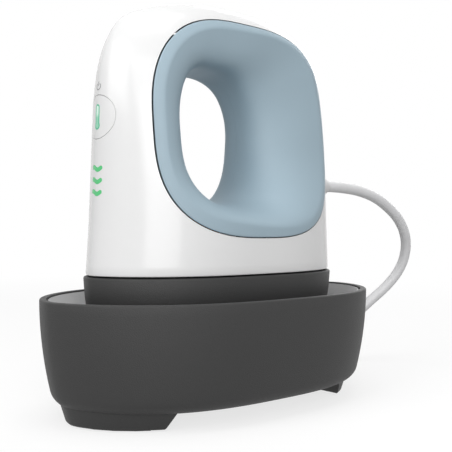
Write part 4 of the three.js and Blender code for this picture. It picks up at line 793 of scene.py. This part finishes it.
# Works. Between the plate and the deck lie a wound brass element, its mica sheet, a felt and a
# tin shield. Two green boards, one on the deck and one behind the nose, carry the small parts.
for name, colour, roughness, tone, gloss, patch, grain, relief, metallic, kept in (
    ("element_brass", (0.6, 0.43, 0.22), 0.4, 0.12, 0.1, 400, 1800, 0.02, 1, ["heating_element"]),
    ("shield_tin", (0.6, 0.6, 0.6), 0.3, 0.06, 0.12, 250, 900, 0.02, 1, ["heat_shield", "thermal_fuse"]),
    ("sleeve_ceramic", (0.76, 0.73, 0.66), 0.6, 0.05, 0.06, 600, 2600, 0.03, 0,
     ["temperature_sensor", *(f"plate_standoff_{number}" for number in range(1, 5))]),
    ("mica_flakes", (0.42, 0.31, 0.17), 0.3, 0.3, 0.15, 350, 1200, 0.02, 0, ["mica_sheet"]),
    ("felt_white", (0.62, 0.6, 0.55), 0.95, 0.22, 0.03, 900, 1500, 0.25, 0, ["insulation_felt"]),
    ("board_green", (0.02, 0.13, 0.05), 0.35, 0.18, 0.08, 700, 2400, 0.02, 0,
     ["power_board", "control_board"]),
    ("part_black", (0.02, 0.02, 0.021), 0.45, 0.15, 0.08, 800, 2600, 0.02, 0, ["triac", "tact_switch"]),
    ("film_orange", (0.6, 0.2, 0.05), 0.3, 0.08, 0.06, 500, 1800, 0.02, 0, ["dropper_capacitor"]),
):
    finish = moulded(name, colour, roughness, tone, gloss, patch, grain, relief, metallic)
    for node in kept:
        finish_node(node, finish)
for node in (
    *(f"plate_screw_{number}" for number in range(1, 5)), "hood_screw_front", "hood_screw_rear",
    "board_screw_front", "board_screw_rear", "control_screw_upper", "control_screw_lower",
):
    finish_node(node, screw_steel)


# Hood. One glossy white ABS moulding over everything, its flanks cut through for the soft insert
# and its nose for the button and the three lights.
HALF_TURN = math.pi
HOOD_BOTTOM = 43 * MM
HOOD_HEIGHT = 86 * MM
HOOD_HALF_LENGTH = 47.3 * MM
HOOD_HALF_WIDTH = 25.3 * MM
HOOD_WALL = 2 * MM
HOOD_EDGE = 0.6 * MM
HOOD_SHOULDER_POWER = 2.6
HOOD_CROWN_POWER = 2.15
HOOD_STEPS = 44
HOOD_COAT = 0.15
HOOD_SMOOTHING = 25
HOOD_PROFILE = [
    (0, 1, 1), (0.19, 0.977, 0.983), (0.418, 0.962, 0.975), (0.59, 0.955, 0.971), (0.703, 0.937, 0.967),
    (0.783, 0.903, 0.955), (0.852, 0.846, 0.908), (0.909, 0.76, 0.828), (0.954, 0.57, 0.68),
    (0.986, 0.31, 0.42), (1, 0, 0),
]
NOSE_MARGIN = 2 * MM
NOSE_Y = -HOOD_HALF_LENGTH - NOSE_MARGIN
BUTTON_Z = 89.7 * MM
BUTTON_RADIUS = 6.4 * MM
BUTTON_DEPTH = 4.7 * MM
LENS_HEIGHT = 7.5 * MM
LIGHT_ZS = [74.6 * MM, 71 * MM, 67.5 * MM]
LIGHT_HALF_WIDTH = 2.6 * MM
LIGHT_STROKE = 1.25 * MM
LIGHT_WAVE = 0.42 * MM
LIGHT_DEPTH = 9.5 * MM
LIGHT_CREST = -0.8
LIGHT_HALF_WAVE = 1.15
LIGHT_STEPS = 28
LIGHT_SEAM = 0.05 * MM
STROKE_END_STEPS = 10
BUTTON_SEAM = 0.16 * MM
BUTTON_SIDES = 96
BUTTON_HOLE_DEPTH = 14 * MM
LIGHT_HOLE_DEPTH = 12 * MM
CORD_HOLE_INSIDE = 10 * MM
CORD_HOLE_OUTSIDE = 4 * MM
RELIEF_Z = 72.6 * MM
RELIEF_ROOT_RADIUS = 4.1 * MM
GRIP_CLEARANCE = 0.26 * MM
GRIP_HOLE_POINTS = 200
RING = {
    "y": 1.25 * MM, "z": 88.4 * MM, "half_length": 36.85 * MM, "half_height": 34.2 * MM,
    "powers": (3.57, 2.55, 3.15, 2.6),
}


def profile_share(share, column):
    """How much of its full length the hood has at a share of its height, without overshoot."""
    rows = HOOD_PROFILE
    k = 0
    while k < len(rows) - 2 and rows[k + 1][0] < share:
        k += 1

    def slope(i):
        near = [
            (after[column] - before[column]) / (after[0] - before[0])
            for before, after in zip(rows[max(i - 1, 0):i + 1], rows[max(i - 1, 0) + 1:i + 2])
        ]
        if len(near) == 1:
            return near[0]
        return 2 * near[0] * near[1] / sum(near) if sum(near) else 0

    step = rows[k + 1][0] - rows[k][0]
    t = (share - rows[k][0]) / step
    start = rows[k][column]
    climb = rows[k + 1][column] - start
    rise = slope(k) * step
    fall = slope(k + 1) * step
    return start + t * (rise + t * (3 * climb - 2 * rise - fall + t * (rise + fall - 2 * climb)))


def hood_ring(z, inset):
    """(height, half width, front, rear) of the hood, or of its inside at an inset."""
    share = min(max((z - HOOD_BOTTOM) / (HOOD_HEIGHT - inset), 0), 1)
    width = HOOD_HALF_WIDTH * (1 - share ** HOOD_SHOULDER_POWER) ** (1 / HOOD_CROWN_POWER)
    shrink = 1 - inset / HOOD_HALF_LENGTH
    front = HOOD_HALF_LENGTH * profile_share(share, 1) * shrink
    rear = HOOD_HALF_LENGTH * profile_share(share, 2) * shrink
    return z, width * (1 - inset / HOOD_HALF_WIDTH), front, rear


def flank_x(y, z):
    """Distance of the hood's flank from the middle plane."""
    _, width, front, rear = hood_ring(z, 0)
    share = min(abs(y / (front if y < 0 else rear)), 1)
    return width * (1 - share ** BOAT_LENGTH_POWER) ** (1 / BOAT_WIDTH_POWER)


def hood_levels(inset):
    """Rings up to the crown, closer together towards the top."""
    rings = []
    for k in range(1, HOOD_STEPS):
        share = math.sin(QUARTER_TURN * k / HOOD_STEPS)
        rings.append(hood_ring(HOOD_BOTTOM + (HOOD_HEIGHT - inset) * share, inset))
    return rings


def outline_point(outline, share):
    """A point of Y and Z on a rounded rectangle whose quarters each have their own squareness."""
    angle = FULL_TURN * share
    c = math.cos(angle)
    s = math.sin(angle)
    if s >= 0:
        quarter = 0 if c >= 0 else 1
    else:
        quarter = 2 if c < 0 else 3
    power = outline["powers"][quarter]
    reach = (abs(c) ** power + abs(s) ** power) ** (-1 / power)
    y = outline["y"] + outline["half_length"] * reach * c
    return y, outline["z"] + outline["half_height"] * reach * s


def grown_ring(clearance, count):
    """The insert's outline pushed out by a clearance."""
    points = []
    for k in range(count):
        y, z = outline_point(RING, k / count)
        y0, z0 = outline_point(RING, (k - 1) / count)
        y1, z1 = outline_point(RING, (k + 1) / count)
        away = Vector((z1 - z0, y0 - y1)).normalized() * clearance
        points.append((y + away.x, z + away.y))
    return points


def make_bar(name, points, along):
    """A straight bar with the given end outline, drawn out along a vector."""
    bar = start_outline(name, points)
    bpy.ops.mesh.edge_face_add()
    bpy.ops.mesh.extrude_region_move(TRANSFORM_OT_translate={"value": along})
    close_mesh()
    return bar


def round_bar(name, radius, start_y, end_y, z):
    """A round bar that runs along Y."""
    clear_selection()
    bpy.ops.mesh.primitive_cylinder_add(
        vertices=BUTTON_SIDES, radius=radius, depth=end_y - start_y,
        location=(0, (start_y + end_y) / 2, z), rotation=(QUARTER_TURN, 0, 0))
    return start_piece(name)


def stroke_outline(line, half, y):
    """The outline of a round-ended stroke along a line of points in X and Z, at one depth."""
    outline = []
    for way in (line, line[::-1]):
        for k, point in enumerate(way):
            before = way[max(k - 1, 0)]
            after = way[min(k + 1, len(way) - 1)]
            along = (after - before).normalized()
            outline.append(point + Vector((along.y, -along.x)) * half)
        end = way[-1]
        along = (end - way[-2]).normalized()
        for k in range(1, STROKE_END_STEPS):
            turn = HALF_TURN * k / STROKE_END_STEPS
            outward = Vector((along.y, -along.x)) * math.cos(turn) + along * math.sin(turn)
            outline.append(end + outward * half)
    return [(point.x, y, point.y) for point in outline]


def wave_outline(z, spread, y):
    """The end of a light guide: a short round-ended wave."""
    half = LIGHT_STROKE / 2
    line = []
    for k in range(LIGHT_STEPS + 1):
        along = -1 + 2 * k / LIGHT_STEPS
        rise = LIGHT_WAVE * math.cos(HALF_TURN * (along - LIGHT_CREST) / LIGHT_HALF_WAVE)
        line.append(Vector((along * (LIGHT_HALF_WIDTH - half), z + rise)))
    return stroke_outline(line, half + spread, y)


def make_hood():
    """The shell, with its holes for the insert, the button, the lights and the cord."""
    corner = HOOD_EDGE * (1 - math.cos(math.radians(45)))
    z, width, front, rear = hood_ring(HOOD_BOTTOM, 0)
    hood = boat_stack("white_hood", [
        *reversed(hood_levels(HOOD_WALL)),
        hood_ring(HOOD_BOTTOM, HOOD_WALL),
        (z, width - HOOD_EDGE, front - HOOD_EDGE, rear - HOOD_EDGE),
        (z + corner, width - corner, front - corner, rear - corner),
        hood_ring(HOOD_BOTTOM + HOOD_EDGE, 0),
        *hood_levels(0),
    ])
    reach = 2 * HOOD_HALF_WIDTH
    ring = [(-reach, y, z) for y, z in grown_ring(GRIP_CLEARANCE, GRIP_HOLE_POINTS)]
    holes = [
        make_bar("insert_hole", ring, (2 * reach, 0, 0)),
        round_bar("button_hole", BUTTON_RADIUS + BUTTON_SEAM, NOSE_Y, NOSE_Y + BUTTON_HOLE_DEPTH, BUTTON_Z),
    ]
    for z in LIGHT_ZS:
        holes.append(make_bar("light_hole", wave_outline(z, LIGHT_SEAM, NOSE_Y), (0, LIGHT_HOLE_DEPTH, 0)))
    holes.append(round_bar(
        "cord_hole", RELIEF_ROOT_RADIUS + GAP, HOOD_HALF_LENGTH - CORD_HOLE_INSIDE,
        HOOD_HALF_LENGTH + CORD_HOLE_OUTSIDE, RELIEF_Z))
    for hole in holes:
        boolean(hood, hole, "DIFFERENCE")
    smooth_faces(hood, HOOD_SMOOTHING)
    return hood


hood_white = moulded(
    "hood_white", (0.84, 0.84, 0.84), 0.22, tone=0.006, gloss=0.03, patch=30, grain=300, relief=0.004)
hood_white.node_tree.nodes["Principled BSDF"].inputs["Coat Weight"].default_value = HOOD_COAT
hood = make_hood()
paint(hood, hood_white)
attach(hood, "press")
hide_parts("hood")


# Insert. Two halves in blue-grey soft-touch rubber line the finger opening and meet in the
# middle. Each starts as a lip just proud of the flank, breaks at a soft crease and rolls in.
OPENING = {
    "y": -6.3 * MM, "z": 86.2 * MM, "half_length": 15.5 * MM, "half_height": 20.8 * MM,
    "powers": (2.3, 3.5, 2.5, 3.6),
}
SADDLE_POWERS = {"rear": 2.6, "top": 4.6, "front": 2.5, "bottom": 1.9}
LIP_WIDTH = 3.5 * MM
LIP_DEPTHS = (-0.7, -0.4, -0.15)
LIP_ROUND = 0.35 * MM
LIP_ROUND_STEPS = 4
CREASE_SHARE = 0.02
GRIP_PROUD = 0.2 * MM
GRIP_WALL = 2 * MM
GRIP_SEAM = 0.03 * MM
GRIP_POINTS = 240
GRIP_STEPS = 40
GRIP_SMOOTHING = 40
PROBE = 1 * MM
NUDGE = 0.004
MERGE_REACH = 0.001 * MM


def saddle_power(share):
    """How squarely the insert turns in to the opening in one direction from its middle."""
    c = math.cos(FULL_TURN * share)
    s = math.sin(FULL_TURN * share)
    along = SADDLE_POWERS["rear" if c > 0 else "front"]
    upright = SADDLE_POWERS["top" if s > 0 else "bottom"]
    return along * c * c + upright * s * s


def grip_point(share, depth):
    """A point of the right half's face: depth -1 is the lip's edge, 0 the crease, 1 the middle."""
    ring_y, ring_z = outline_point(RING, share)
    open_y, open_z = outline_point(OPENING, share)
    reach = math.hypot(open_y - ring_y, open_z - ring_z)
    way_y = (open_y - ring_y) / reach
    way_z = (open_z - ring_z) / reach
    ahead = flank_x(ring_y + way_y * PROBE, ring_z + way_z * PROBE)
    rise = (ahead - flank_x(ring_y, ring_z)) / PROBE
    lip = LIP_WIDTH / math.hypot(1, rise)
    on_flank = lip * min(1 + depth, 1)
    flank = flank_x(ring_y + way_y * on_flank, ring_z + way_z * on_flank) + GRIP_PROUD
    turn = max(depth, 0) * QUARTER_TURN
    sharpness = 2 / saddle_power(share)
    inwards = on_flank + (reach - lip) * math.sin(turn) ** sharpness
    x = flank * max(math.cos(turn), 0) ** sharpness
    return Vector((x, ring_y + way_y * inwards, ring_z + way_z * inwards))


def grip_normal(share, depth):
    """The way that the face looks at a point."""
    along_ring = grip_point(share + NUDGE, depth) - grip_point(share - NUDGE, depth)
    along_depth = grip_point(share, min(depth + NUDGE, 1)) - grip_point(share, max(depth - NUDGE, -1))
    return along_ring.cross(along_depth).normalized()


def grip_column(share):
    """Points of the face from the lip's rounded edge to the middle plane."""
    column = []
    for k in range(LIP_ROUND_STEPS + 1):
        turn = QUARTER_TURN * k / LIP_ROUND_STEPS
        depth = -1 + (1 - math.cos(turn)) * LIP_ROUND / LIP_WIDTH
        drop = LIP_ROUND * (1 - math.sin(turn))
        column.append(grip_point(share, depth) - grip_normal(share, depth) * drop)
    column.extend(grip_point(share, depth) for depth in LIP_DEPTHS)
    evenness = saddle_power(share) / 2
    for k in range(GRIP_STEPS + 1):
        way = CREASE_SHARE + (1 - CREASE_SHARE) * k / GRIP_STEPS
        column.append(grip_point(share, way ** evenness))
    column[-1].x = GRIP_SEAM
    return column


def make_grip(name, side):
    """One half: a grid wrapped into the columns of its face, given its wall's thickness."""
    columns = [grip_column(i / GRIP_POINTS) for i in range(GRIP_POINTS)]
    rows = len(columns[0])
    clear_selection()
    bpy.ops.mesh.primitive_grid_add(x_subdivisions=GRIP_POINTS, y_subdivisions=rows - 1, size=1)
    grip = start_piece(name)
    for k, vertex in enumerate(grip.data.vertices):
        place = columns[k % (GRIP_POINTS + 1) % GRIP_POINTS][k // (GRIP_POINTS + 1)]
        vertex.co = (side * place.x, place.y, place.z)
    open_mesh()
    bpy.ops.mesh.remove_doubles(threshold=MERGE_REACH)
    close_mesh()
    lip_face = grip.data.polygons[GRIP_POINTS * (LIP_ROUND_STEPS + 1)]
    if lip_face.normal.x * side < 0:
        grip.data.flip_normals()
    apply_modifier(grip, "SOLIDIFY", thickness=GRIP_WALL, offset=-1)
    smooth_faces(grip, GRIP_SMOOTHING)
    return grip


grip_blue = moulded(
    "grip_blue", (0.355, 0.465, 0.535), 0.55, tone=0.02, gloss=0.05, patch=60, grain=3200, relief=0.02)
for name, side in (("right_insert", 1), ("left_insert", -1)):
    grip = make_grip(name, side)
    paint(grip, grip_blue)
    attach(grip, "press")
    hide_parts("right_grip" if side > 0 else "left_grip")


# Nose controls. The white button sits flush in its hole and shows a lit column with a round bulb
# below it. Three wavy green light guides stand under it, and a printed mark above it.
LENS_FLOOR = 1 * MM
LENS_STEM_HALF = 1 * MM
LENS_BULB_HALF = 1.2 * MM
LENS_RIM = 0.42 * MM
LENS_SEAM = 0.03 * MM
LENS_STEPS = 24
LENS_LEVEL = BUTTON_Z + 0.4 * MM
LENS_BLEND = 0.8 * MM
LOW_GREEN = (0.3, 0.66, 0.48)
TOP_GREEN = (0.74, 0.95, 0.84)
RIM_GREEN = (0.1, 0.5, 0.3)
WAVE_GREEN = (0.09, 0.55, 0.2)
LIGHT_GLOW = 0.12
MARK_Z = 98.7 * MM
MARK_RADIUS = 0.95 * MM
MARK_STROKE = 0.28 * MM
MARK_OPEN = math.radians(40)
MARK_STEPS = 40
MARK_BAR_LOW = 0.2 * MM
MARK_BAR_HIGH = 1.35 * MM
MARK_THICKNESS = 0.03 * MM


def lens_outline(spread, y):
    """The window's outline: a narrow round-topped stem that widens to a round bulb below."""
    stem = LENS_STEM_HALF + spread
    bulb = LENS_BULB_HALF + spread
    stem_z = BUTTON_Z + LENS_HEIGHT / 2 - LENS_STEM_HALF
    bulb_z = BUTTON_Z - LENS_HEIGHT / 2 + LENS_BULB_HALF
    meet = math.asin(stem / bulb)
    points = []
    for k in range(LENS_STEPS + 1):
        turn = HALF_TURN * k / LENS_STEPS
        points.append((stem * math.cos(turn), y, stem_z + stem * math.sin(turn)))
    for k in range(2 * LENS_STEPS + 1):
        turn = QUARTER_TURN + meet + (FULL_TURN - 2 * meet) * k / (2 * LENS_STEPS)
        points.append((bulb * math.cos(turn), y, bulb_z + bulb * math.sin(turn)))
    return points


def trim_to_hood(piece):
    """Leaves of the piece what lies within the hood's outer form."""
    form = boat_stack("hood_form", [hood_ring(HOOD_BOTTOM, 0), *hood_levels(0)])
    boolean(piece, form, "INTERSECT")


def make_button():
    """The button's cap, the green rim of its window and the lit window itself."""
    back = BUTTON_DEPTH - hood_ring(BUTTON_Z, 0)[2]
    bar = (0, back - LENS_FLOOR - NOSE_Y, 0)
    cap = round_bar("round_button", BUTTON_RADIUS, NOSE_Y, back, BUTTON_Z)
    trim_to_hood(cap)
    boolean(cap, make_bar("window_hole", lens_outline(LENS_SEAM, NOSE_Y), bar), "DIFFERENCE")
    rim = make_bar("window_rim", lens_outline(0, NOSE_Y), bar)
    trim_to_hood(rim)
    boolean(rim, make_bar("rim_hole", lens_outline(-LENS_RIM, NOSE_Y), 2 * Vector(bar)), "DIFFERENCE")
    window = make_bar("button_window", lens_outline(-LENS_RIM - LENS_SEAM, NOSE_Y), bar)
    trim_to_hood(window)
    for piece in (cap, rim, window):
        smooth_faces(piece, HOOD_SMOOTHING)
    return cap, rim, window


def lit_green(name, colour):
    """Clear green plastic with a little light behind it."""
    material = moulded(name, colour, 0.3, tone=0.05, gloss=0.04, patch=600, grain=3000, relief=0.004)
    shader = material.node_tree.nodes["Principled BSDF"]
    shader.inputs["Emission Color"].default_value = (*colour, 1)
    shader.inputs["Emission Strength"].default_value = LIGHT_GLOW
    return material


def lit_column():
    """The window's own plastic: pale at the top of the column and greener towards the bulb."""
    material = lit_green("lit_column", TOP_GREEN)
    nodes = material.node_tree.nodes
    link = material.node_tree.links.new
    place = nodes.new("ShaderNodeTexCoord")
    parts = nodes.new("ShaderNodeSeparateXYZ")
    level = range_node(nodes, (LENS_LEVEL - LENS_BLEND, LENS_LEVEL + LENS_BLEND, 0, 1), "SMOOTHSTEP")
    mix = nodes.new("ShaderNodeMix")
    mix.data_type = "RGBA"
    mix.inputs["A"].default_value = (*LOW_GREEN, 1)
    mix.inputs["B"].default_value = (*TOP_GREEN, 1)
    link(place.outputs["Object"], parts.inputs[0])
    link(parts.outputs["Z"], level.inputs["Value"])
    link(level.outputs["Result"], mix.inputs["Factor"])
    finish = next(node for node in nodes if node.type == "GROUP")
    link(mix.outputs["Result"], finish.inputs["Colour"])
    link(mix.outputs["Result"], nodes["Principled BSDF"].inputs["Emission Color"])
    return material


def nose_y(x, z):
    """Where the hood's nose is, a little way aside of the middle line."""
    _, width, front, _ = hood_ring(z, 0)
    share = abs(x) / width
    return -front * (1 - share ** BOAT_WIDTH_POWER) ** (1 / BOAT_LENGTH_POWER)


def make_mark(name, line):
    """A thin printed stroke on the nose."""
    outline = [(x, nose_y(x, z), z) for x, _, z in stroke_outline(line, MARK_STROKE / 2, 0)]
    mark = start_outline(name, outline)
    bpy.ops.mesh.edge_face_add()
    bpy.ops.mesh.quads_convert_to_tris()
    bpy.ops.object.mode_set(mode="OBJECT")
    if mark.data.polygons[0].normal.y > 0:
        mark.data.flip_normals()
    apply_modifier(mark, "SOLIDIFY", thickness=MARK_THICKNESS, offset=1)
    return mark


light_green = lit_green("light_green", WAVE_GREEN)
rim_green = lit_green("rim_green", RIM_GREEN)
button, window_rim, button_window = make_button()
for piece, finish, slot in (
    (button, hood_white, "hood_white"), (window_rim, rim_green, "light_green"),
    (button_window, lit_column(), "light_green"),
):
    paint(piece, finish)
    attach(piece, "button")
    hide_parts("button_cap" if piece is button else "button_lens")
for number, z in enumerate(LIGHT_ZS, start=1):
    along = (0, NOSE_MARGIN + LIGHT_DEPTH, 0)
    light = make_bar(f"wave_light_{number}", wave_outline(z, 0, NOSE_Y), along)
    trim_to_hood(light)
    smooth_faces(light, HOOD_SMOOTHING)
    paint(light, light_green)
    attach(light, "press")
    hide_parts(f"light_guide_{number}")
mark_grey = moulded(
    "mark_grey", (0.3, 0.3, 0.31), 0.5, tone=0.05, gloss=0.03, patch=900, grain=3000, relief=0.002)
mark_arc = []
for k in range(MARK_STEPS + 1):
    turn = QUARTER_TURN + MARK_OPEN + (FULL_TURN - 2 * MARK_OPEN) * k / MARK_STEPS
    mark_arc.append(Vector((MARK_RADIUS * math.cos(turn), MARK_Z + MARK_RADIUS * math.sin(turn))))
mark_bar = [Vector((0, MARK_Z + MARK_BAR_LOW)), Vector((0, MARK_Z + MARK_BAR_HIGH))]
for name, line in (("printed_arc", mark_arc), ("printed_bar", mark_bar)):
    mark = make_mark(name, line)
    paint(mark, mark_grey)
    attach(mark, "press")


# Strain relief. A tapered sleeve in the same soft PVC as the cord, pushed out through the rear
# wall and locked behind it by a steel clip.
RELIEF_TIP_Y = 53.5 * MM
RELIEF_LENGTH = 21 * MM
RELIEF_TIP_RADIUS = 2.8 * MM
RELIEF_FLANGE_RADIUS = 5.8 * MM
RELIEF_SEAT_DEPTH = 2.7 * MM
CLIP_THICKNESS = 1 * MM
RELIEF_TURNS = 64
RELIEF_STRAIGHT = 1 * MM
RELIEF_TIP_SWELL = 0.25 * MM
RELIEF_TIP_ROUND = 0.6 * MM
RELIEF_TIP_INSET = 0.1 * MM


def make_relief():
    """The sleeve, spun from its half section: bore, flange, neck in the wall and tapered tip."""
    wall = hood_ring(RELIEF_Z, 0)[3]
    flange = hood_ring(RELIEF_Z, HOOD_WALL)[3] - RELIEF_SEAT_DEPTH - CLIP_THICKNESS - 2 * GAP
    bore = CORD_DIAMETER / 2 + GAP
    root = RELIEF_TIP_Y - RELIEF_LENGTH
    section = [
        (bore, root),
        (RELIEF_FLANGE_RADIUS, root),
        (RELIEF_FLANGE_RADIUS, flange),
        (RELIEF_ROOT_RADIUS, flange),
        (RELIEF_ROOT_RADIUS, wall + RELIEF_STRAIGHT),
        (RELIEF_TIP_RADIUS + RELIEF_TIP_SWELL, RELIEF_TIP_Y - RELIEF_TIP_ROUND),
        (RELIEF_TIP_RADIUS - RELIEF_TIP_INSET, RELIEF_TIP_Y),
        (bore, RELIEF_TIP_Y),
    ]
    relief = start_outline("relief_sleeve", [(0, y, RELIEF_Z + radius) for radius, y in section])
    bpy.ops.mesh.spin(steps=RELIEF_TURNS, angle=FULL_TURN, center=(0, 0, RELIEF_Z), axis=(0, 1, 0))
    bpy.ops.mesh.select_all(action="SELECT")
    bpy.ops.mesh.remove_doubles(threshold=MERGE_REACH)
    close_mesh()
    smooth_faces(relief)
    return relief


relief = make_relief()
paint(relief, cord_white)
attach(relief, "press")
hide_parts("cord_relief")
finish_node("relief_clip", screw_steel)


# Floor and light. A plain pale floor that fades into the backdrop, and soft lamps: a key from the
# left in front, one overhead, and weaker ones in front, from the right, low down and behind.
FLOOR_HALF = 4
FLOOR_COLOUR = 0.3
FLOOR_GLOW = 0.74
FLOOR_NEAR = 0.2
FLOOR_FAR = 0.7
BACKDROP = 1.0
SKY_LIGHT = 0.18
LAMP_SIZE = 0.6
LAMPS_AIM = 70 * MM
LAMPS = [
    ("key", -0.6, 0.6, 0.6, 3.6),
    ("fill", 0.0, 0.9, 0.5, 2.4),
    ("side", 0.65, 0.6, 0.5, 1.3),
    ("top", 0.0, 0.1, 1.0, 2.9),
    ("low", 0.1, 0.95, 0.15, 3.2),
    ("rear", 0.35, -0.8, 0.45, 2.0),
]


def shows_backdrop(nodes, link):
    """A mask of the rays that should see the pale backdrop: camera, glossy and transmission."""
    path = nodes.new("ShaderNodeLightPath")
    either = math_node(nodes, "MAXIMUM")
    link(path.outputs["Is Camera Ray"], either.inputs[0])
    link(path.outputs["Is Glossy Ray"], either.inputs[1])
    every = math_node(nodes, "MAXIMUM")
    link(either.outputs[0], every.inputs[0])
    link(path.outputs["Is Transmission Ray"], every.inputs[1])
    return every.outputs[0]


def make_floor():
    """A matt floor whose own glow takes it into the backdrop as it goes away from the press."""
    material = bpy.data.materials.new("floor")
    material.use_nodes = True
    nodes = material.node_tree.nodes
    link = material.node_tree.links.new
    nodes.remove(nodes["Principled BSDF"])
    place = nodes.new("ShaderNodeTexCoord")
    away = nodes.new("ShaderNodeVectorMath")
    away.operation = "LENGTH"
    link(place.outputs["Object"], away.inputs[0])
    matt = nodes.new("ShaderNodeBsdfDiffuse")
    glow = nodes.new("ShaderNodeEmission")
    strength = math_node(nodes, "MULTIPLY")
    link(shows_backdrop(nodes, link), strength.inputs[0])
    for near, far, target in (
        (FLOOR_COLOUR, 0, matt.inputs["Color"]), (FLOOR_GLOW, BACKDROP, strength.inputs[1]),
    ):
        fade = range_node(nodes, (FLOOR_NEAR, FLOOR_FAR, near, far), "SMOOTHSTEP")
        link(away.outputs["Value"], fade.inputs["Value"])
        link(fade.outputs["Result"], target)
    link(strength.outputs[0], glow.inputs["Strength"])
    both = nodes.new("ShaderNodeAddShader")
    link(matt.outputs[0], both.inputs[0])
    link(glow.outputs[0], both.inputs[1])
    link(both.outputs[0], nodes["Material Output"].inputs["Surface"])
    clear_selection()
    bpy.ops.mesh.primitive_plane_add(size=2 * FLOOR_HALF)
    floor = start_piece("floor")
    floor.data.materials.append(material)


def make_world():
    """Soft even light for the object, and the white backdrop for the rays that should see it."""
    world = bpy.data.worlds.new("studio")
    bpy.context.scene.world = world
    world.use_nodes = True
    nodes = world.node_tree.nodes
    link = world.node_tree.links.new
    strength = range_node(nodes, (0, 1, SKY_LIGHT, BACKDROP))
    link(shows_backdrop(nodes, link), strength.inputs["Value"])
    background = nodes["Background"]
    background.inputs["Color"].default_value = (1, 1, 1, 1)
    link(strength.outputs["Result"], background.inputs["Strength"])


def make_lights():
    """Each lamp has its metres aside, towards the camera and up, and its power in watts."""
    middle = Vector((0, 0, LAMPS_AIM))
    for name, aside, towards, up, power in LAMPS:
        data = bpy.data.lights.new(name, "AREA")
        data.size = LAMP_SIZE
        data.energy = power
        lamp = bpy.data.objects.new(name, data)
        bpy.context.scene.collection.objects.link(lamp)
        lamp.location = camera_aside * aside + camera_back * towards + Vector((0, 0, up))
        lamp.rotation_euler = (lamp.location - middle).to_track_quat("Z", "Y").to_euler()


make_floor()
make_world()
make_lights()

bpy.context.scene.view_settings.view_transform = "Standard"
